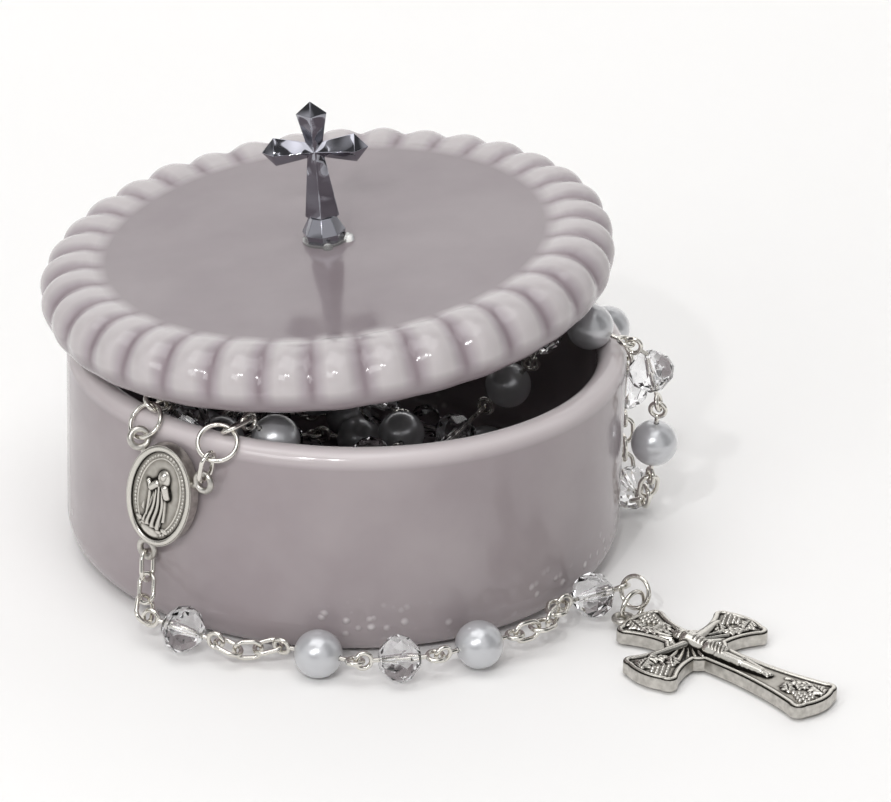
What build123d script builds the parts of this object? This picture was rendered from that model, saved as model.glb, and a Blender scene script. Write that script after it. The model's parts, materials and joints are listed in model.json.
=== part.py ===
"""A small round ceramic box with a gadrooned lid, and the rosary that is kept in it.

Millimetres, +Z up. The origin is the centre of the box's foot, on the surface it
stands on. -Y is the front. The lid lies ajar: its locating ring rests on the rim at
the left, and beads that spill over the rim hold it up at the right.
"""
import os
from math import acos, atan2, cos, degrees, pi, radians, sin, sqrt

from build123d import *

# ---------------------------------------------------------------- driving sizes

# Box: thrown and glazed ceramic
BOX_RADIUS = 47.5
BOX_HEIGHT = 37.5
BOX_WALL = 5.0
BOX_FLOOR = 4.5
HEEL_RADIUS = 6.5            # round between the wall and the foot, outside
INNER_HEEL_RADIUS = 5.0      # round between the wall and the floor, inside
FOOT_WIDTH = 5.0             # ring that the box stands on
FOOT_DEPTH = 1.2             # hollow inside that ring

# Lid: pressed and glazed ceramic
LID_THICKNESS = 10.0
LID_BAND_RADIUS = 48.0       # plain band under the lobes
LID_BAND_HEIGHT = 4.2
LID_EDGE_RADIUS = 3.0        # round from the band to the underside
LOBE_COUNT = 35
LOBE_LENGTH = 11.0           # along the radius
LOBE_THICKNESS = 9.6         # across the radius
LOBE_OVERHANG = 0.5          # how far the lobes stand out from the band
LOBE_OVERLAP = 1.5           # how far the flat top runs in under the lobes
SHOULDER_BULGE = (2.6, 1.9)  # out from the middle of the shoulder, and down from the top
LOBE_RISE = 0.8              # how far they stand above the flat top
LOCATING_RADIUS = 40.5
LOCATING_WIDTH = 4.0
LOCATING_DEPTH = 2.5
LOCATING_ROUND = 0.9

# How the lid lies: centre of its top, and its lean
LID_TOP = (-4.2, 1.5, 55.3)
LID_LEAN_BACK = 2.2          # degrees about X
LID_LEAN_LEFT = 6.7          # degrees about -Y

# Cross on the lid: chromed die casting
CROSS_HEIGHT = 25.0
CROSS_SPAN = 18.0
CROSS_ARM_LEVEL = 16.2       # height of the arms' centre line
CROSS_WAIST = 3.0            # width of an arm where it leaves the centre
CROSS_FLARE = 5.2            # width where it is widest
CROSS_DEPTH = 2.8            # thickness at the waist
CROSS_ROOT = 0.8             # thickness inside the centre, as a share of that
CROSS_FLARE_DEPTH = 4.0
CROSS_TIP = 2.2              # length of the pyramid on an arm's end
CROSS_TURN = -4.0            # degrees about its own height
SOCKET_RADIUS = 3.7
SOCKET_HEIGHT = 4.2
SOCKET_SIDES = 8
SOCKET_FOOT = 0.93           # radius of its foot, as a share of SOCKET_RADIUS
SOCKET_MOUTH = 0.6           # radius of its mouth, likewise
SOCKET_BELLY = 0.35          # height of its widest part, as a share of SOCKET_HEIGHT
CROSS_SEAT = 0.45            # where the cross ends in it, likewise
CROSS_FOOT_FLARE = 0.6       # how much wider the foot flares than the arms
GLUE_FILM = 0.3
GLUE_SPREAD = 0.35           # how far the film squeezes out round the socket
GLUE_DROPS = ((-12, 1.2), (-82, 0.9))  # bearing and radius of each drop
GLUE_DROP_OUT = 0.5          # from the socket's foot to a drop's middle
GLUE_GAP = 0.05              # between a drop and the socket

# Rosary: wire, beads and links
WIRE = 0.8
SHANK = 0.475                # radius of the straight wire, as a share of WIRE
PEARL_SIZE = 8.0
CRYSTAL_SIZE = 8.0
CRYSTAL_LENGTH = 6.5
CRYSTAL_FACETS = 10
CRYSTAL_TABLE = 0.42         # radius of a crystal's flat ends, as a share of its girdle
CRYSTAL_CROWN = 0.88         # radius where its two rows of facets meet, likewise
CRYSTAL_CROWN_AT = 0.24      # distance of that row from the middle, as a share of the length
BEAD_BORE = 1.0
EYE_SIZE = 3.4               # outer width of an eye
EYE_NECK = 1.0               # from the bead's face to the eye
LINK_LENGTH = 5.3
LINK_WIDTH = 4.0
LINK_PLAY = 0.35             # slack where two eyes or links hang in each other
BIG_RING = 6.8
SMALL_RING = 6.2

# Centre medal: oxidised die casting
MEDAL_HEIGHT = 19.0
MEDAL_WIDTH = 13.0
MEDAL_THICKNESS = 2.0
MEDAL_RIM = 1.0
MEDAL_FIELD_DEPTH = 0.5
MEDAL_LEVEL = 25.9           # height of its centre
MEDAL_GAP = 0.75             # between its back and the box's wall
MEDAL_BEARING = -127.0       # degrees round the box
MEDAL_TURN = 16.0            # degrees, clockwise as seen from outside
LUG_SIZE = 4.1
LUG_WIRE = 1.1
LUG_SPREAD = 45.0            # degrees from the medal's top to each upper lug
UPPER_LUG_REACH = 9.9        # from the medal's centre
LOWER_LUG_REACH = 11.2
LUG_TWIST = 53.0             # degrees, the left upper lug about its stem
STEM_SINK = 1.5              # how far a lug's stem runs into the medal
ROBE = ((-1.9, -5.4), (1.9, -5.4), (1.0, 2.6), (-1.0, 2.6))  # outline of the figure's robe
ROBE_RISE = 0.4              # above the field
ROBE_TAPER = 12.0            # degrees
VEILED_HEAD = (3.7, 0.8)     # height above the medal's middle, and radius
FIGURE_SINK = 0.1            # how far raised figures reach into their ground

# Crucifix: oxidised die casting
CRUCIFIX_LENGTH = 41.0
CRUCIFIX_SPAN = 28.0
CRUCIFIX_THICKNESS = 1.9
CRUCIFIX_BACK = 1.2          # from the plane of its loop to its back
CRUCIFIX_ARM_LEVEL = 14.2    # from its top end to the arms' centre line
CRUCIFIX_WAIST = 6.2
CRUCIFIX_FLARE = 10.0
CRUCIFIX_CENTRE = 5.3        # radius of the disc where the arms cross
LIMB_SHOULDER = 3.4          # from a limb's end back to where it stops flaring
LIMB_CORNER = (1.5, 0.1)     # its corner: back from the end, and out from the flare
LIMB_LOBE = (0.8, 1.4)       # start of its end lobe: back, and in
LIMB_SCOOP = (0.66, 0.35)    # middle of its flank: share of the way out, and width added
FIGURE_TRUNK = (-1.4, 5.0, 1.05)       # from, to, radius
FIGURE_LEGS = (4.4, 14.4, 0.85, 0.45)  # from, to, radius at the hip, radius at the foot
FIGURE_HEAD = (-3.0, 0.25, 0.4, 1.05)  # along, across, above the front, radius
FIGURE_ARM = (-1.5, 4.1, 7.2, 0.42, 12.0)  # middle along, across, length, radius, lift
CRUCIFIX_LIES = (58.3, -44.3)          # where the arms cross, on the floor
CRUCIFIX_HEADING = -43.0     # degrees, from top to foot
CRUCIFIX_LUG_REACH = 15.6    # from the crossing to its loop

# ---------------------------------------------------------------- sizes worked out

INNER_RADIUS = BOX_RADIUS - BOX_WALL
RIM_RADIUS = BOX_RADIUS - BOX_WALL / 2          # circle along the crest of the rim
LID_FLAT = LID_THICKNESS - LOBE_RISE            # flat top, above the lid's underside
EYE_RADIUS = (EYE_SIZE - WIRE) / 2              # centre line of an eye

# From a piece's middle to the centre line of the wire at its tip
REACH = {
    "pearl": PEARL_SIZE / 2 + EYE_NECK + EYE_SIZE - WIRE / 2,
    "crystal": CRYSTAL_LENGTH / 2 + EYE_NECK + EYE_SIZE - WIRE / 2,
    "link": (LINK_LENGTH - WIRE) / 2,
    "big_ring": (BIG_RING - WIRE) / 2,
    "small_ring": (SMALL_RING - WIRE) / 2,
}
HOOK = WIRE + LINK_PLAY       # between two wires that hang in each other
PITCH = {kind: 2 * reach - HOOK for kind, reach in REACH.items()}
BEADS = {"pearl": PEARL_SIZE, "crystal": CRYSTAL_LENGTH}

UP = Vector(0, 0, 1)


# ---------------------------------------------------------------- box and lid

def box_body():
    """The round box: straight wall, rounded heel and rim, foot ring underneath."""
    foot_outer = BOX_RADIUS - HEEL_RADIUS
    foot_inner = foot_outer - FOOT_WIDTH
    rim_level = BOX_HEIGHT - BOX_WALL / 2
    profile = Polygon(
        (0, FOOT_DEPTH),
        (foot_inner, FOOT_DEPTH),
        (foot_inner, 0),
        (BOX_RADIUS, 0),
        (BOX_RADIUS, rim_level),
        (INNER_RADIUS, rim_level),
        (INNER_RADIUS, BOX_FLOOR),
        (0, BOX_FLOOR),
        align=None,
    )

    def corner(x, y):
        return profile.vertices().sort_by_distance((x, y, 0))[0]

    profile = fillet(corner(BOX_RADIUS, 0), HEEL_RADIUS)
    profile = fillet(corner(INNER_RADIUS, BOX_FLOOR), INNER_HEEL_RADIUS)
    profile += Pos(RIM_RADIUS, rim_level) * Circle(BOX_WALL / 2)
    return revolve(Plane.XZ * profile, axis=Axis.Z)


def lid_upright():
    """The lid with its underside at z = 0: plain disc, locating ring and lobes."""
    ring_inner = LOCATING_RADIUS - LOCATING_WIDTH
    shoulder = LID_BAND_RADIUS + LOBE_OVERHANG - LOBE_LENGTH + LOBE_OVERLAP
    bulge_out, bulge_down = SHOULDER_BULGE
    middle = (shoulder + LID_BAND_RADIUS) / 2 + bulge_out
    with BuildSketch(Plane.XZ) as profile:
        with BuildLine():
            Polyline(
                (shoulder, LID_FLAT),
                (0, LID_FLAT),
                (0, 0),
                (ring_inner, 0),
                (ring_inner, -LOCATING_DEPTH),
                (LOCATING_RADIUS, -LOCATING_DEPTH),
                (LOCATING_RADIUS, 0),
                (LID_BAND_RADIUS - LID_EDGE_RADIUS, 0),
            )
            RadiusArc(
                (LID_BAND_RADIUS - LID_EDGE_RADIUS, 0),
                (LID_BAND_RADIUS, LID_EDGE_RADIUS),
                -LID_EDGE_RADIUS,
            )
            Line((LID_BAND_RADIUS, LID_EDGE_RADIUS), (LID_BAND_RADIUS, LID_BAND_HEIGHT))
            ThreePointArc(
                (LID_BAND_RADIUS, LID_BAND_HEIGHT),
                (middle, LID_FLAT - bulge_down),
                (shoulder, LID_FLAT),
            )
        make_face()
    disc = revolve(profile.sketch, axis=Axis.Z)
    ring_edges = disc.edges().filter_by(GeomType.CIRCLE).group_by(Axis.Z)[0]
    disc = fillet(ring_edges, LOCATING_ROUND)
    outline = Ellipse(LOBE_LENGTH / 2, LOBE_THICKNESS / 2)
    outline -= Rectangle(LOBE_LENGTH, LOBE_THICKNESS, align=(Align.CENTER, Align.MAX))
    lobe = revolve(Plane.XZ * outline, axis=Axis.X)
    reach = LID_BAND_RADIUS + LOBE_OVERHANG - LOBE_LENGTH / 2
    lobe = Pos(reach, 0, LID_THICKNESS - LOBE_THICKNESS / 2) * lobe
    step = 360 / LOBE_COUNT
    return disc.fuse(*[Rot(0, 0, step * (i + 0.5)) * lobe for i in range(LOBE_COUNT)])


def lid_pose():
    """Where the lid lies: a location for shapes drawn on the upright lid."""
    lean = Rot(0, -LID_LEAN_LEFT, 0) * Rot(LID_LEAN_BACK, 0, 0)
    return Pos(*LID_TOP) * lean * Pos(0, 0, -LID_THICKNESS)


def spindle(sections):
    """A solid with flat faces through rhombs: (distance along X, width, depth)."""
    faces = []
    for x, width, depth in sections:
        points = [(x, 0, width / 2), (x, depth / 2, 0), (x, 0, -width / 2), (x, -depth / 2, 0)]
        if width == 0:
            faces.append(Vertex(x, 0, 0))
        else:
            faces.append(Face(Wire.make_polygon(points, close=True)))
    return Solid.make_loft([f if isinstance(f, Vertex) else f.outer_wire() for f in faces], True)


def cross_finial():
    """Flared cross with a centre ridge, standing in a small faceted socket."""
    arm = CROSS_SPAN / 2
    upper = CROSS_HEIGHT - CROSS_ARM_LEVEL
    lower = CROSS_ARM_LEVEL - SOCKET_HEIGHT * CROSS_SEAT

    def limb(reach, flare):
        return spindle([
            (-CROSS_WAIST / 2, CROSS_WAIST * CROSS_ROOT, CROSS_DEPTH * CROSS_ROOT),
            (CROSS_WAIST / 2, CROSS_WAIST, CROSS_DEPTH),
            (reach - CROSS_TIP, flare, CROSS_FLARE_DEPTH),
            (reach, 0, 0),
        ])

    centre = Pos(0, 0, CROSS_ARM_LEVEL)
    limbs = [
        centre * limb(arm, CROSS_FLARE),
        centre * Rot(0, 180, 0) * limb(arm, CROSS_FLARE),
        centre * Rot(0, -90, 0) * limb(upper, CROSS_FLARE),
        centre * Rot(0, 90, 0) * limb(lower, CROSS_FLARE + CROSS_FOOT_FLARE),
    ]
    foot = Plane.XY * RegularPolygon(SOCKET_RADIUS * SOCKET_FOOT, SOCKET_SIDES)
    belly = Plane.XY.offset(SOCKET_HEIGHT * SOCKET_BELLY) * RegularPolygon(SOCKET_RADIUS, SOCKET_SIDES)
    mouth = Plane.XY.offset(SOCKET_HEIGHT) * RegularPolygon(SOCKET_RADIUS * SOCKET_MOUTH, SOCKET_SIDES)
    socket = loft([foot, belly, mouth], ruled=True)
    cross = socket.fuse(*limbs)
    return Pos(0, 0, LID_FLAT + GLUE_FILM) * Rot(0, 0, CROSS_TURN) * cross


def finial_glue():
    """Clear glue: a film under the socket, and the drops that squeezed out of it."""
    foot = SOCKET_RADIUS * SOCKET_FOOT
    film = Pos(0, 0, LID_FLAT + GLUE_FILM / 2) * Cylinder(foot + GLUE_SPREAD, GLUE_FILM)
    deep = 2 * SOCKET_HEIGHT
    middle = Pos(0, 0, LID_FLAT + deep / 2)
    keep_out = middle * Cylinder(SOCKET_RADIUS + GLUE_GAP, deep)
    above = middle * Box(4 * SOCKET_RADIUS, 4 * SOCKET_RADIUS, deep)
    drops = []
    for bearing, radius in GLUE_DROPS:
        drop = Rot(0, 0, bearing) * Pos(foot + GLUE_DROP_OUT, 0, LID_FLAT) * Sphere(radius)
        drops.append((drop & above) - keep_out)
    return film.fuse(*drops)


# ---------------------------------------------------------------- rosary pieces

def wire_ring(outer):
    """A round ring of wire in the XY plane."""
    return Solid.make_torus((outer - WIRE) / 2, WIRE / 2)


def oval_link():
    """One chain link in the XY plane, long way along X."""
    path = SlotOverall(LINK_LENGTH - WIRE, LINK_WIDTH - WIRE).wire()
    section = Plane(origin=path @ 0, z_dir=path % 0) * Circle(WIRE / 2)
    return sweep(section, path=path)


def eye_pin(bead_length, twist, lean=0):
    """Wire through a bead along X, with an eye at each end.

    The far eye is turned by twist about the wire. The near eye leans in its own plane.
    """
    face = bead_length / 2
    reach = EYE_NECK + WIRE / 2
    eye = Pos(EYE_NECK + EYE_SIZE / 2, 0, 0) * Solid.make_torus(EYE_RADIUS, WIRE / 2)
    far_eye = Pos(face, 0, 0) * Rot(twist, 0, 0) * eye
    bend = Pos(-face, 0, 0) * Rot(0, 0, 180 + lean)
    if not lean:
        shank = Rot(0, 90, 0) * Cylinder(WIRE * SHANK, bead_length + 2 * reach)
        return shank.fuse(bend * eye, far_eye)
    shank = Pos(reach / 2, 0, 0) * Rot(0, 90, 0) * Cylinder(WIRE * SHANK, bead_length + reach)
    neck = bend * Pos(reach / 2, 0, 0) * Rot(0, 90, 0) * Cylinder(WIRE * SHANK, reach)
    knee = Pos(-face, 0, 0) * Sphere(WIRE * SHANK)
    return shank.fuse(neck, knee, bend * eye, far_eye)


def pearl():
    """Round bead, bored along X."""
    disc = Circle(PEARL_SIZE / 2)
    disc -= Pos(0, -PEARL_SIZE) * Rectangle(2 * PEARL_SIZE, 2 * PEARL_SIZE + BEAD_BORE)
    return revolve(Plane.XY * disc, axis=Axis.X)


def crystal():
    """Faceted glass rondelle, bored along X: belts of triangles between rows of facets."""
    girdle = CRYSTAL_SIZE / 2
    rows = [
        (-CRYSTAL_LENGTH / 2, girdle * CRYSTAL_TABLE, 0),
        (-CRYSTAL_LENGTH * CRYSTAL_CROWN_AT, girdle * CRYSTAL_CROWN, 0),
        (0, girdle, 0.5),
        (CRYSTAL_LENGTH * CRYSTAL_CROWN_AT, girdle * CRYSTAL_CROWN, 0),
        (CRYSTAL_LENGTH / 2, girdle * CRYSTAL_TABLE, 0),
    ]

    def point(row, i):
        x, radius, shift = rows[row]
        turn = 2 * pi * (i + shift) / CRYSTAL_FACETS
        return Vector(x, radius * cos(turn), radius * sin(turn))

    def facet(*points):
        return Face(Wire.make_polygon(list(points), close=True))

    faces = [facet(*[point(end, i) for i in range(CRYSTAL_FACETS)]) for end in (0, 4)]
    for i in range(CRYSTAL_FACETS):
        for outer, inner in ((0, 1), (4, 3)):
            near, far = point(inner, i), point(inner, i + 1)
            faces.append(facet(point(outer, i), point(outer, i + 1), far, near))
            faces.append(facet(near, far, point(2, i)))
            faces.append(facet(point(2, i), point(2, i + 1), far))
    bore = Rot(0, 90, 0) * Cylinder(BEAD_BORE / 2, CRYSTAL_LENGTH + 1)
    return Solid(Shell(faces)) - bore


def casting_lug(reach, bearing, turn):
    """A cast loop at a bearing from +Y, clockwise, turned about its own stem."""
    loop = Solid.make_torus((LUG_SIZE - LUG_WIRE) / 2, LUG_WIRE / 2)
    return Rot(0, 0, -bearing) * Pos(0, reach, 0) * Rot(0, turn, 0) * loop


def center_medal():
    """Oval medal in the XY plane, front up (+Z): rim, sunk field, robed figure, lugs."""
    front = MEDAL_THICKNESS / 2
    plate = Ellipse(MEDAL_WIDTH / 2, MEDAL_HEIGHT / 2)
    field = Ellipse(MEDAL_WIDTH / 2 - MEDAL_RIM, MEDAL_HEIGHT / 2 - MEDAL_RIM)
    body = Pos(0, 0, -front) * extrude(plate, MEDAL_THICKNESS)
    body -= Pos(0, 0, front - MEDAL_FIELD_DEPTH) * extrude(field, MEDAL_THICKNESS)
    ground = front - MEDAL_FIELD_DEPTH
    robe = extrude(Polygon(*ROBE, align=None), ROBE_RISE + FIGURE_SINK, taper=ROBE_TAPER)
    robe = Pos(0, 0, ground - FIGURE_SINK) * robe
    head_level, head_radius = VEILED_HEAD
    head = Pos(0, head_level, ground + FIGURE_SINK) * Sphere(head_radius)
    stem_end = UPPER_LUG_REACH - LUG_SIZE / 2
    stem_length = stem_end - MEDAL_WIDTH / 2 + STEM_SINK
    stem = Rot(90, 0, 0) * Cylinder(LUG_WIRE / 2, stem_length)
    stem = Pos(0, (stem_end + MEDAL_WIDTH / 2) / 2, 0) * stem
    lugs = [Rot(0, 0, turn) * stem for turn in (LUG_SPREAD, -LUG_SPREAD)]
    lugs += [
        casting_lug(UPPER_LUG_REACH, -LUG_SPREAD, LUG_TWIST),
        casting_lug(UPPER_LUG_REACH, LUG_SPREAD, 0),
        casting_lug(LOWER_LUG_REACH, 180, 0),
    ]
    return body.fuse(robe, head, *lugs)


def crucifix_limb(reach):
    """Outline of one flared limb along +X: waist, scooped flanks and a lobed end."""
    half = CRUCIFIX_WAIST / 2
    flare = CRUCIFIX_FLARE / 2
    share, scoop = LIMB_SCOOP
    start = (half, half)
    shoulder = (reach - LIMB_SHOULDER, flare)
    flank = (shoulder[0] * share, half + scoop)
    corner = (reach - LIMB_CORNER[0], flare + LIMB_CORNER[1])
    lobe = (reach - LIMB_LOBE[0], flare - LIMB_LOBE[1])

    def below(point):
        return (point[0], -point[1])

    with BuildSketch() as outline:
        with BuildLine():
            Line((0, half), start)
            ThreePointArc(start, flank, shoulder)
            ThreePointArc(shoulder, corner, lobe)
            ThreePointArc(lobe, (reach, 0), below(lobe))
            ThreePointArc(below(lobe), below(corner), below(shoulder))
            ThreePointArc(below(shoulder), below(flank), below(start))
            Polyline(below(start), (0, -half), (0, half))
        make_face()
    return outline.sketch


def crucifix():
    """Crucifix in the XY plane, top end at -X, front up, with a loop at the top."""
    upper = CRUCIFIX_ARM_LEVEL
    lower = CRUCIFIX_LENGTH - CRUCIFIX_ARM_LEVEL
    side = CRUCIFIX_SPAN / 2
    outline = crucifix_limb(lower)
    for turn, reach in ((90, side), (180, upper), (270, side)):
        outline += Rot(0, 0, turn) * crucifix_limb(reach)
    outline += Circle(CRUCIFIX_CENTRE)
    front = CRUCIFIX_THICKNESS - CRUCIFIX_BACK
    body = Pos(0, 0, -CRUCIFIX_BACK) * extrude(outline, CRUCIFIX_THICKNESS)
    low = front - FIGURE_SINK
    start, end, radius = FIGURE_TRUNK
    trunk = Pos((start + end) / 2, 0, low) * Rot(0, 90, 0) * Cylinder(radius, end - start)
    start, end, hip, foot = FIGURE_LEGS
    legs = Pos((start + end) / 2, 0, low) * Rot(0, 90, 0) * Cone(hip, foot, end - start)
    along, across, above, radius = FIGURE_HEAD
    head = Pos(along, across, front + above) * Sphere(radius)
    along, across, length, radius, lift = FIGURE_ARM
    arm = Rot(0, 0, lift) * Rot(90, 0, 0) * Cylinder(radius, length)
    arm = Pos(along, across, front) * arm
    loop = Solid.make_torus((LUG_SIZE - LUG_WIRE) / 2, LUG_WIRE / 2)
    loop = Pos(-CRUCIFIX_LUG_REACH, 0, 0) * loop
    return body.fuse(trunk, head, arm, mirror(arm, about=Plane.XZ), legs, loop)


# ---------------------------------------------------------------- how the rosary lies

def around(bearing, radius, level):
    """A point given by its bearing round the box, its distance from the middle and height."""
    return Vector(radius * cos(radians(bearing)), radius * sin(radians(bearing)), level)


def walk(route, kinds):
    """Hooking points of pieces strung along a route, each its own pitch from the last."""
    points = [route[0]]
    leg = 1
    for kind in kinds:
        here = points[-1]
        while leg < len(route) - 1 and (route[leg] - here).length < PITCH[kind]:
            leg += 1
        along = (route[leg] - route[leg - 1]).normalized()
        offset = route[leg - 1] - here
        half = offset.dot(along)
        swing = half * half - offset.dot(offset) + PITCH[kind] ** 2
        points.append(route[leg - 1] + along * (sqrt(max(swing, 0)) - half))
    return points


def elbow(start, end, first, second, side):
    """Where two lengths meet that together close a gap, bent towards side."""
    span = end - start
    along = span.normalized()
    a = (span.length ** 2 + first ** 2 - second ** 2) / (2 * span.length)
    out = (side - along * side.dot(along)).normalized()
    return start + along * a + out * sqrt(max(first ** 2 - a * a, 0))


def square(normal, along):
    """Normal of a loop that runs along and hooks squarely into a loop with this normal."""
    return normal.cross(along).normalized()


def string(kinds, points, first_normal=None, last_normal=None):
    """Places for pieces: (kind, location, twist). Eyes and links stand square at each hook."""
    count = len(kinds)
    dirs = [(points[i + 1] - points[i]).normalized() for i in range(count)]
    pieces = []
    normal = first_normal or square(UP, dirs[0])
    for i, kind in enumerate(kinds):
        along = dirs[i]
        normal = (normal - along * normal.dot(along)).normalized()
        place = Plane(origin=points[i] + along * REACH[kind], x_dir=along, z_dir=normal)
        twist = 0
        end = normal
        if kind in BEADS:
            end = end_normal(kinds, dirs, i)
            if last_normal and i + 1 == count:
                end = (last_normal - along * last_normal.dot(along)).normalized()
            twist = degrees(atan2(normal.cross(end).dot(along), normal.dot(end)))
        pieces.append((kind, place.location, twist))
        if i + 1 < count:
            normal = square(end, dirs[i + 1])
    return pieces


def end_normal(kinds, dirs, i):
    """Normal of a pin's far eye: the eye lies in the plane in which the strand bends."""
    along = dirs[i]
    links = 0
    while i + 1 + links < len(kinds) and kinds[i + 1 + links] == "link":
        links += 1
    if links % 2 or kinds[i + 1:i + 2] == ["small_ring"]:
        return square(UP, along)
    ahead = dirs[min(i + 1, len(dirs) - 1)]
    bend = along.cross(ahead)
    if bend.length < STRAIGHT:
        bend = UP - along * UP.dot(along)
    return bend.normalized()


# ---------------------------------------------------------------- where each strand goes

DECADE = ["crystal", "pearl"] * 5
SPACER = ["link"] * 3 + ["crystal"] + ["link"] * 3
RIM_SWAG = (51.6, -3.2, 33.5)          # crystal that hangs outside the rim at the right
SWAG_DROP = (0.254, 0, -0.967)         # direction of its bore
SWAG_HOOK = (47.1, -2.3, 38.6)         # where it hooks on to the pearl on the rim
RIM_PEARL = (40.5, 0, 40.4)
LOWER_PEARL = (52.8, -2.1, 19.6)
LEFT_HOOK = (-134.2, 44.6, 39.0)       # big ring to the link over the rim, at the left
LEFT_RING_SIDE = (-0.85, 0.52, -0.3)  # which way the ring hangs off the line between its hooks
LEFT_LINK_ROLL = 41.0
LEFT_CROSSING = (-134.4, 43.3, 38.8)  # bearing, distance and height inside the rim
RIGHT_CROSSING = (-112.3, 41.6, 38.9)

# Guide points of the strands: plain points, and rises given as bearing, distance and height
INNER_GUIDES = [(31.5, 7.6, 28.8), (22.5, 12.7, 17.4), (15.1, 12.5, 10.2)]
INNER_RISE = [(-160, 36.5, 12), (-135.1, 35, 29.4)]
OUTER_GUIDES = [
    (52.1, 0.2, 8.2), (51.1, 5.6, 5.1), (51.2, 8.5, 3.6), (49.2, 20.1, 3.4), (49.1, 18.9, 7.5),
    (48.9, 19.4, 13.9), (49, 17.8, 27.4), (42.35, 30.5, 31.8), (40.4, 28.1, 44.95), (40.3, 13.3, 48.2),
]
UPPER_GUIDES = [(32.9, 14.9, 36.8), (27.3, 24.1, 28), (19.5, 30.5, 18.6)]
UPPER_RISE = [(-19, 10, 17.2), (-114, 22.7, 20), (-114, 38, 37)]
UPPER_TURN = (198, 21.3, 17.2)         # where the upper row doubles back
RIGHT_HOOKS = [(-116.7, 50.9, 31.0), (-116.9, 49.96, 34.1), (-114.9, 46.0, 40.6)]
RIGHT_ROLLS = (24.0, 165.0, 155.0)
SPIRAL_START = 0                     # bearing, degrees
SPIRAL_TURNS = 2.62
SPIRAL_RADIUS = 11.3                   # innermost
SPIRAL_PITCH = 9.33
SPIRAL_LEVEL = 8.7
SPIRAL_WAVE = 0.05                     # how much it swells, three times a turn
SPIRAL_WAVE_FROM = 50
UPPER_LEVEL = 17.2                     # beads that lie on the spiral
UPPER_RADIUS = 34.5
UPPER_ROW = 11.5                       # from one row to the next
UPPER_BEARINGS = (70, 194, 60)         # where the outer row starts, turns, and the inner ends
ROUTE_STEP = 10                        # degrees between two points of a route
STRAIGHT = 0.17                        # sine of a bend that an eye needn't follow
BACK_PIECES = 7                        # links and crystal that hang behind the box
LEFT_BEND = (1, 0, -0.3)               # which way a strand's last two pieces are bent
RIGHT_BEND = (1, -0.4, 0)


def unit(x, y, z):
    """A vector one long."""
    return Vector(x, y, z).normalized()


def medal_frame():
    """The centre medal's place: flat against the wall, front outwards."""
    outward = around(MEDAL_BEARING, 1, 0)
    right = UP.cross(outward)
    upright = UP * cos(radians(MEDAL_TURN)) + right * sin(radians(MEDAL_TURN))
    distance = BOX_RADIUS + MEDAL_THICKNESS / 2 + MEDAL_GAP
    centre = outward * distance + UP * MEDAL_LEVEL
    return Plane(origin=centre, x_dir=upright.cross(outward), z_dir=outward)


def medal_point(frame, reach, bearing):
    """Centre of the medal's lug at a bearing from its top, clockwise."""
    turn = radians(bearing)
    return frame.origin + (frame.x_dir * sin(turn) + frame.y_dir * cos(turn)) * reach


def swag():
    """The pearl on the rim, and the crystal and pearl that hang from it outside."""
    crystal_centre = Vector(*RIM_SWAG)
    drop = unit(*SWAG_DROP)
    pivot = crystal_centre - drop * (CRYSTAL_LENGTH / 2)
    lean = (Vector(*SWAG_HOOK) - pivot).normalized()
    hook = pivot + lean * (EYE_NECK + EYE_SIZE - WIRE / 2)
    along = (hook - Vector(*RIM_PEARL)).normalized()
    pearl_start = hook - along * PITCH["pearl"]
    low_hook = crystal_centre + drop * (REACH["crystal"] - HOOK)
    low_end = low_hook + (Vector(*LOWER_PEARL) - low_hook).normalized() * PITCH["pearl"]
    return pearl_start, hook, pivot, low_hook, low_end


def inner_route(start):
    """From the pearl on the rim down into the box, then outwards round its floor."""
    route = [start] + [Vector(*point) for point in INNER_GUIDES]
    for turned in range(0, int(360 * SPIRAL_TURNS), ROUTE_STEP):
        bearing = SPIRAL_START + turned
        radius = SPIRAL_RADIUS + SPIRAL_PITCH * turned / 360
        radius *= 1 + SPIRAL_WAVE * cos(radians(3 * bearing - SPIRAL_WAVE_FROM))
        route.append(around(bearing, radius, SPIRAL_LEVEL))
    return route + [around(*point) for point in INNER_RISE]


def outer_route(start):
    """From the hanging pearl round the foot of the box, and up over the rim behind."""
    return [start] + [Vector(*point) for point in OUTER_GUIDES]


def upper_route(start):
    """From under the lid down on to the spiral, to and fro across it, and up again."""
    route = [start] + [Vector(*point) for point in UPPER_GUIDES]
    first, turn, last = UPPER_BEARINGS
    for bearing in range(first, turn, ROUTE_STEP):
        route.append(around(bearing, UPPER_RADIUS, UPPER_LEVEL))
    route.append(around(*UPPER_TURN))
    for bearing in range(turn, last, -ROUTE_STEP):
        route.append(around(bearing, UPPER_RADIUS - UPPER_ROW, UPPER_LEVEL))
    return route + [around(*point) for point in UPPER_RISE]


def close(points, kinds, end, side):
    """Adds the last two pieces of a strand, so that it ends where it must."""
    middle = elbow(points[-1], end, PITCH[kinds[-2]], PITCH[kinds[-1]], side)
    return points + [middle, end]


def loop_strands():
    """The loop of five decades, as strands of (name, kinds, hooking points)."""
    pearl_start, hook, pivot, low_hook, low_end = swag()
    inside = DECADE + SPACER + DECADE + SPACER + DECADE[:7]
    back = walk(inner_route(pearl_start), list(reversed(inside))[:-2])
    back = close(back, list(reversed(inside)), around(*LEFT_CROSSING), Vector(*LEFT_BEND))
    outside = SPACER + DECADE[:4]
    out = walk(outer_route(low_end), outside)
    above = DECADE[4:] + SPACER + DECADE
    over = walk(upper_route(out[-1]), above[:-2])
    over = close(over, above, around(*RIGHT_CROSSING), Vector(*RIGHT_BEND))
    return [
        ("inside", inside, list(reversed(back))),
        ("outside", outside + above, out + over[1:]),
    ]


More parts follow.
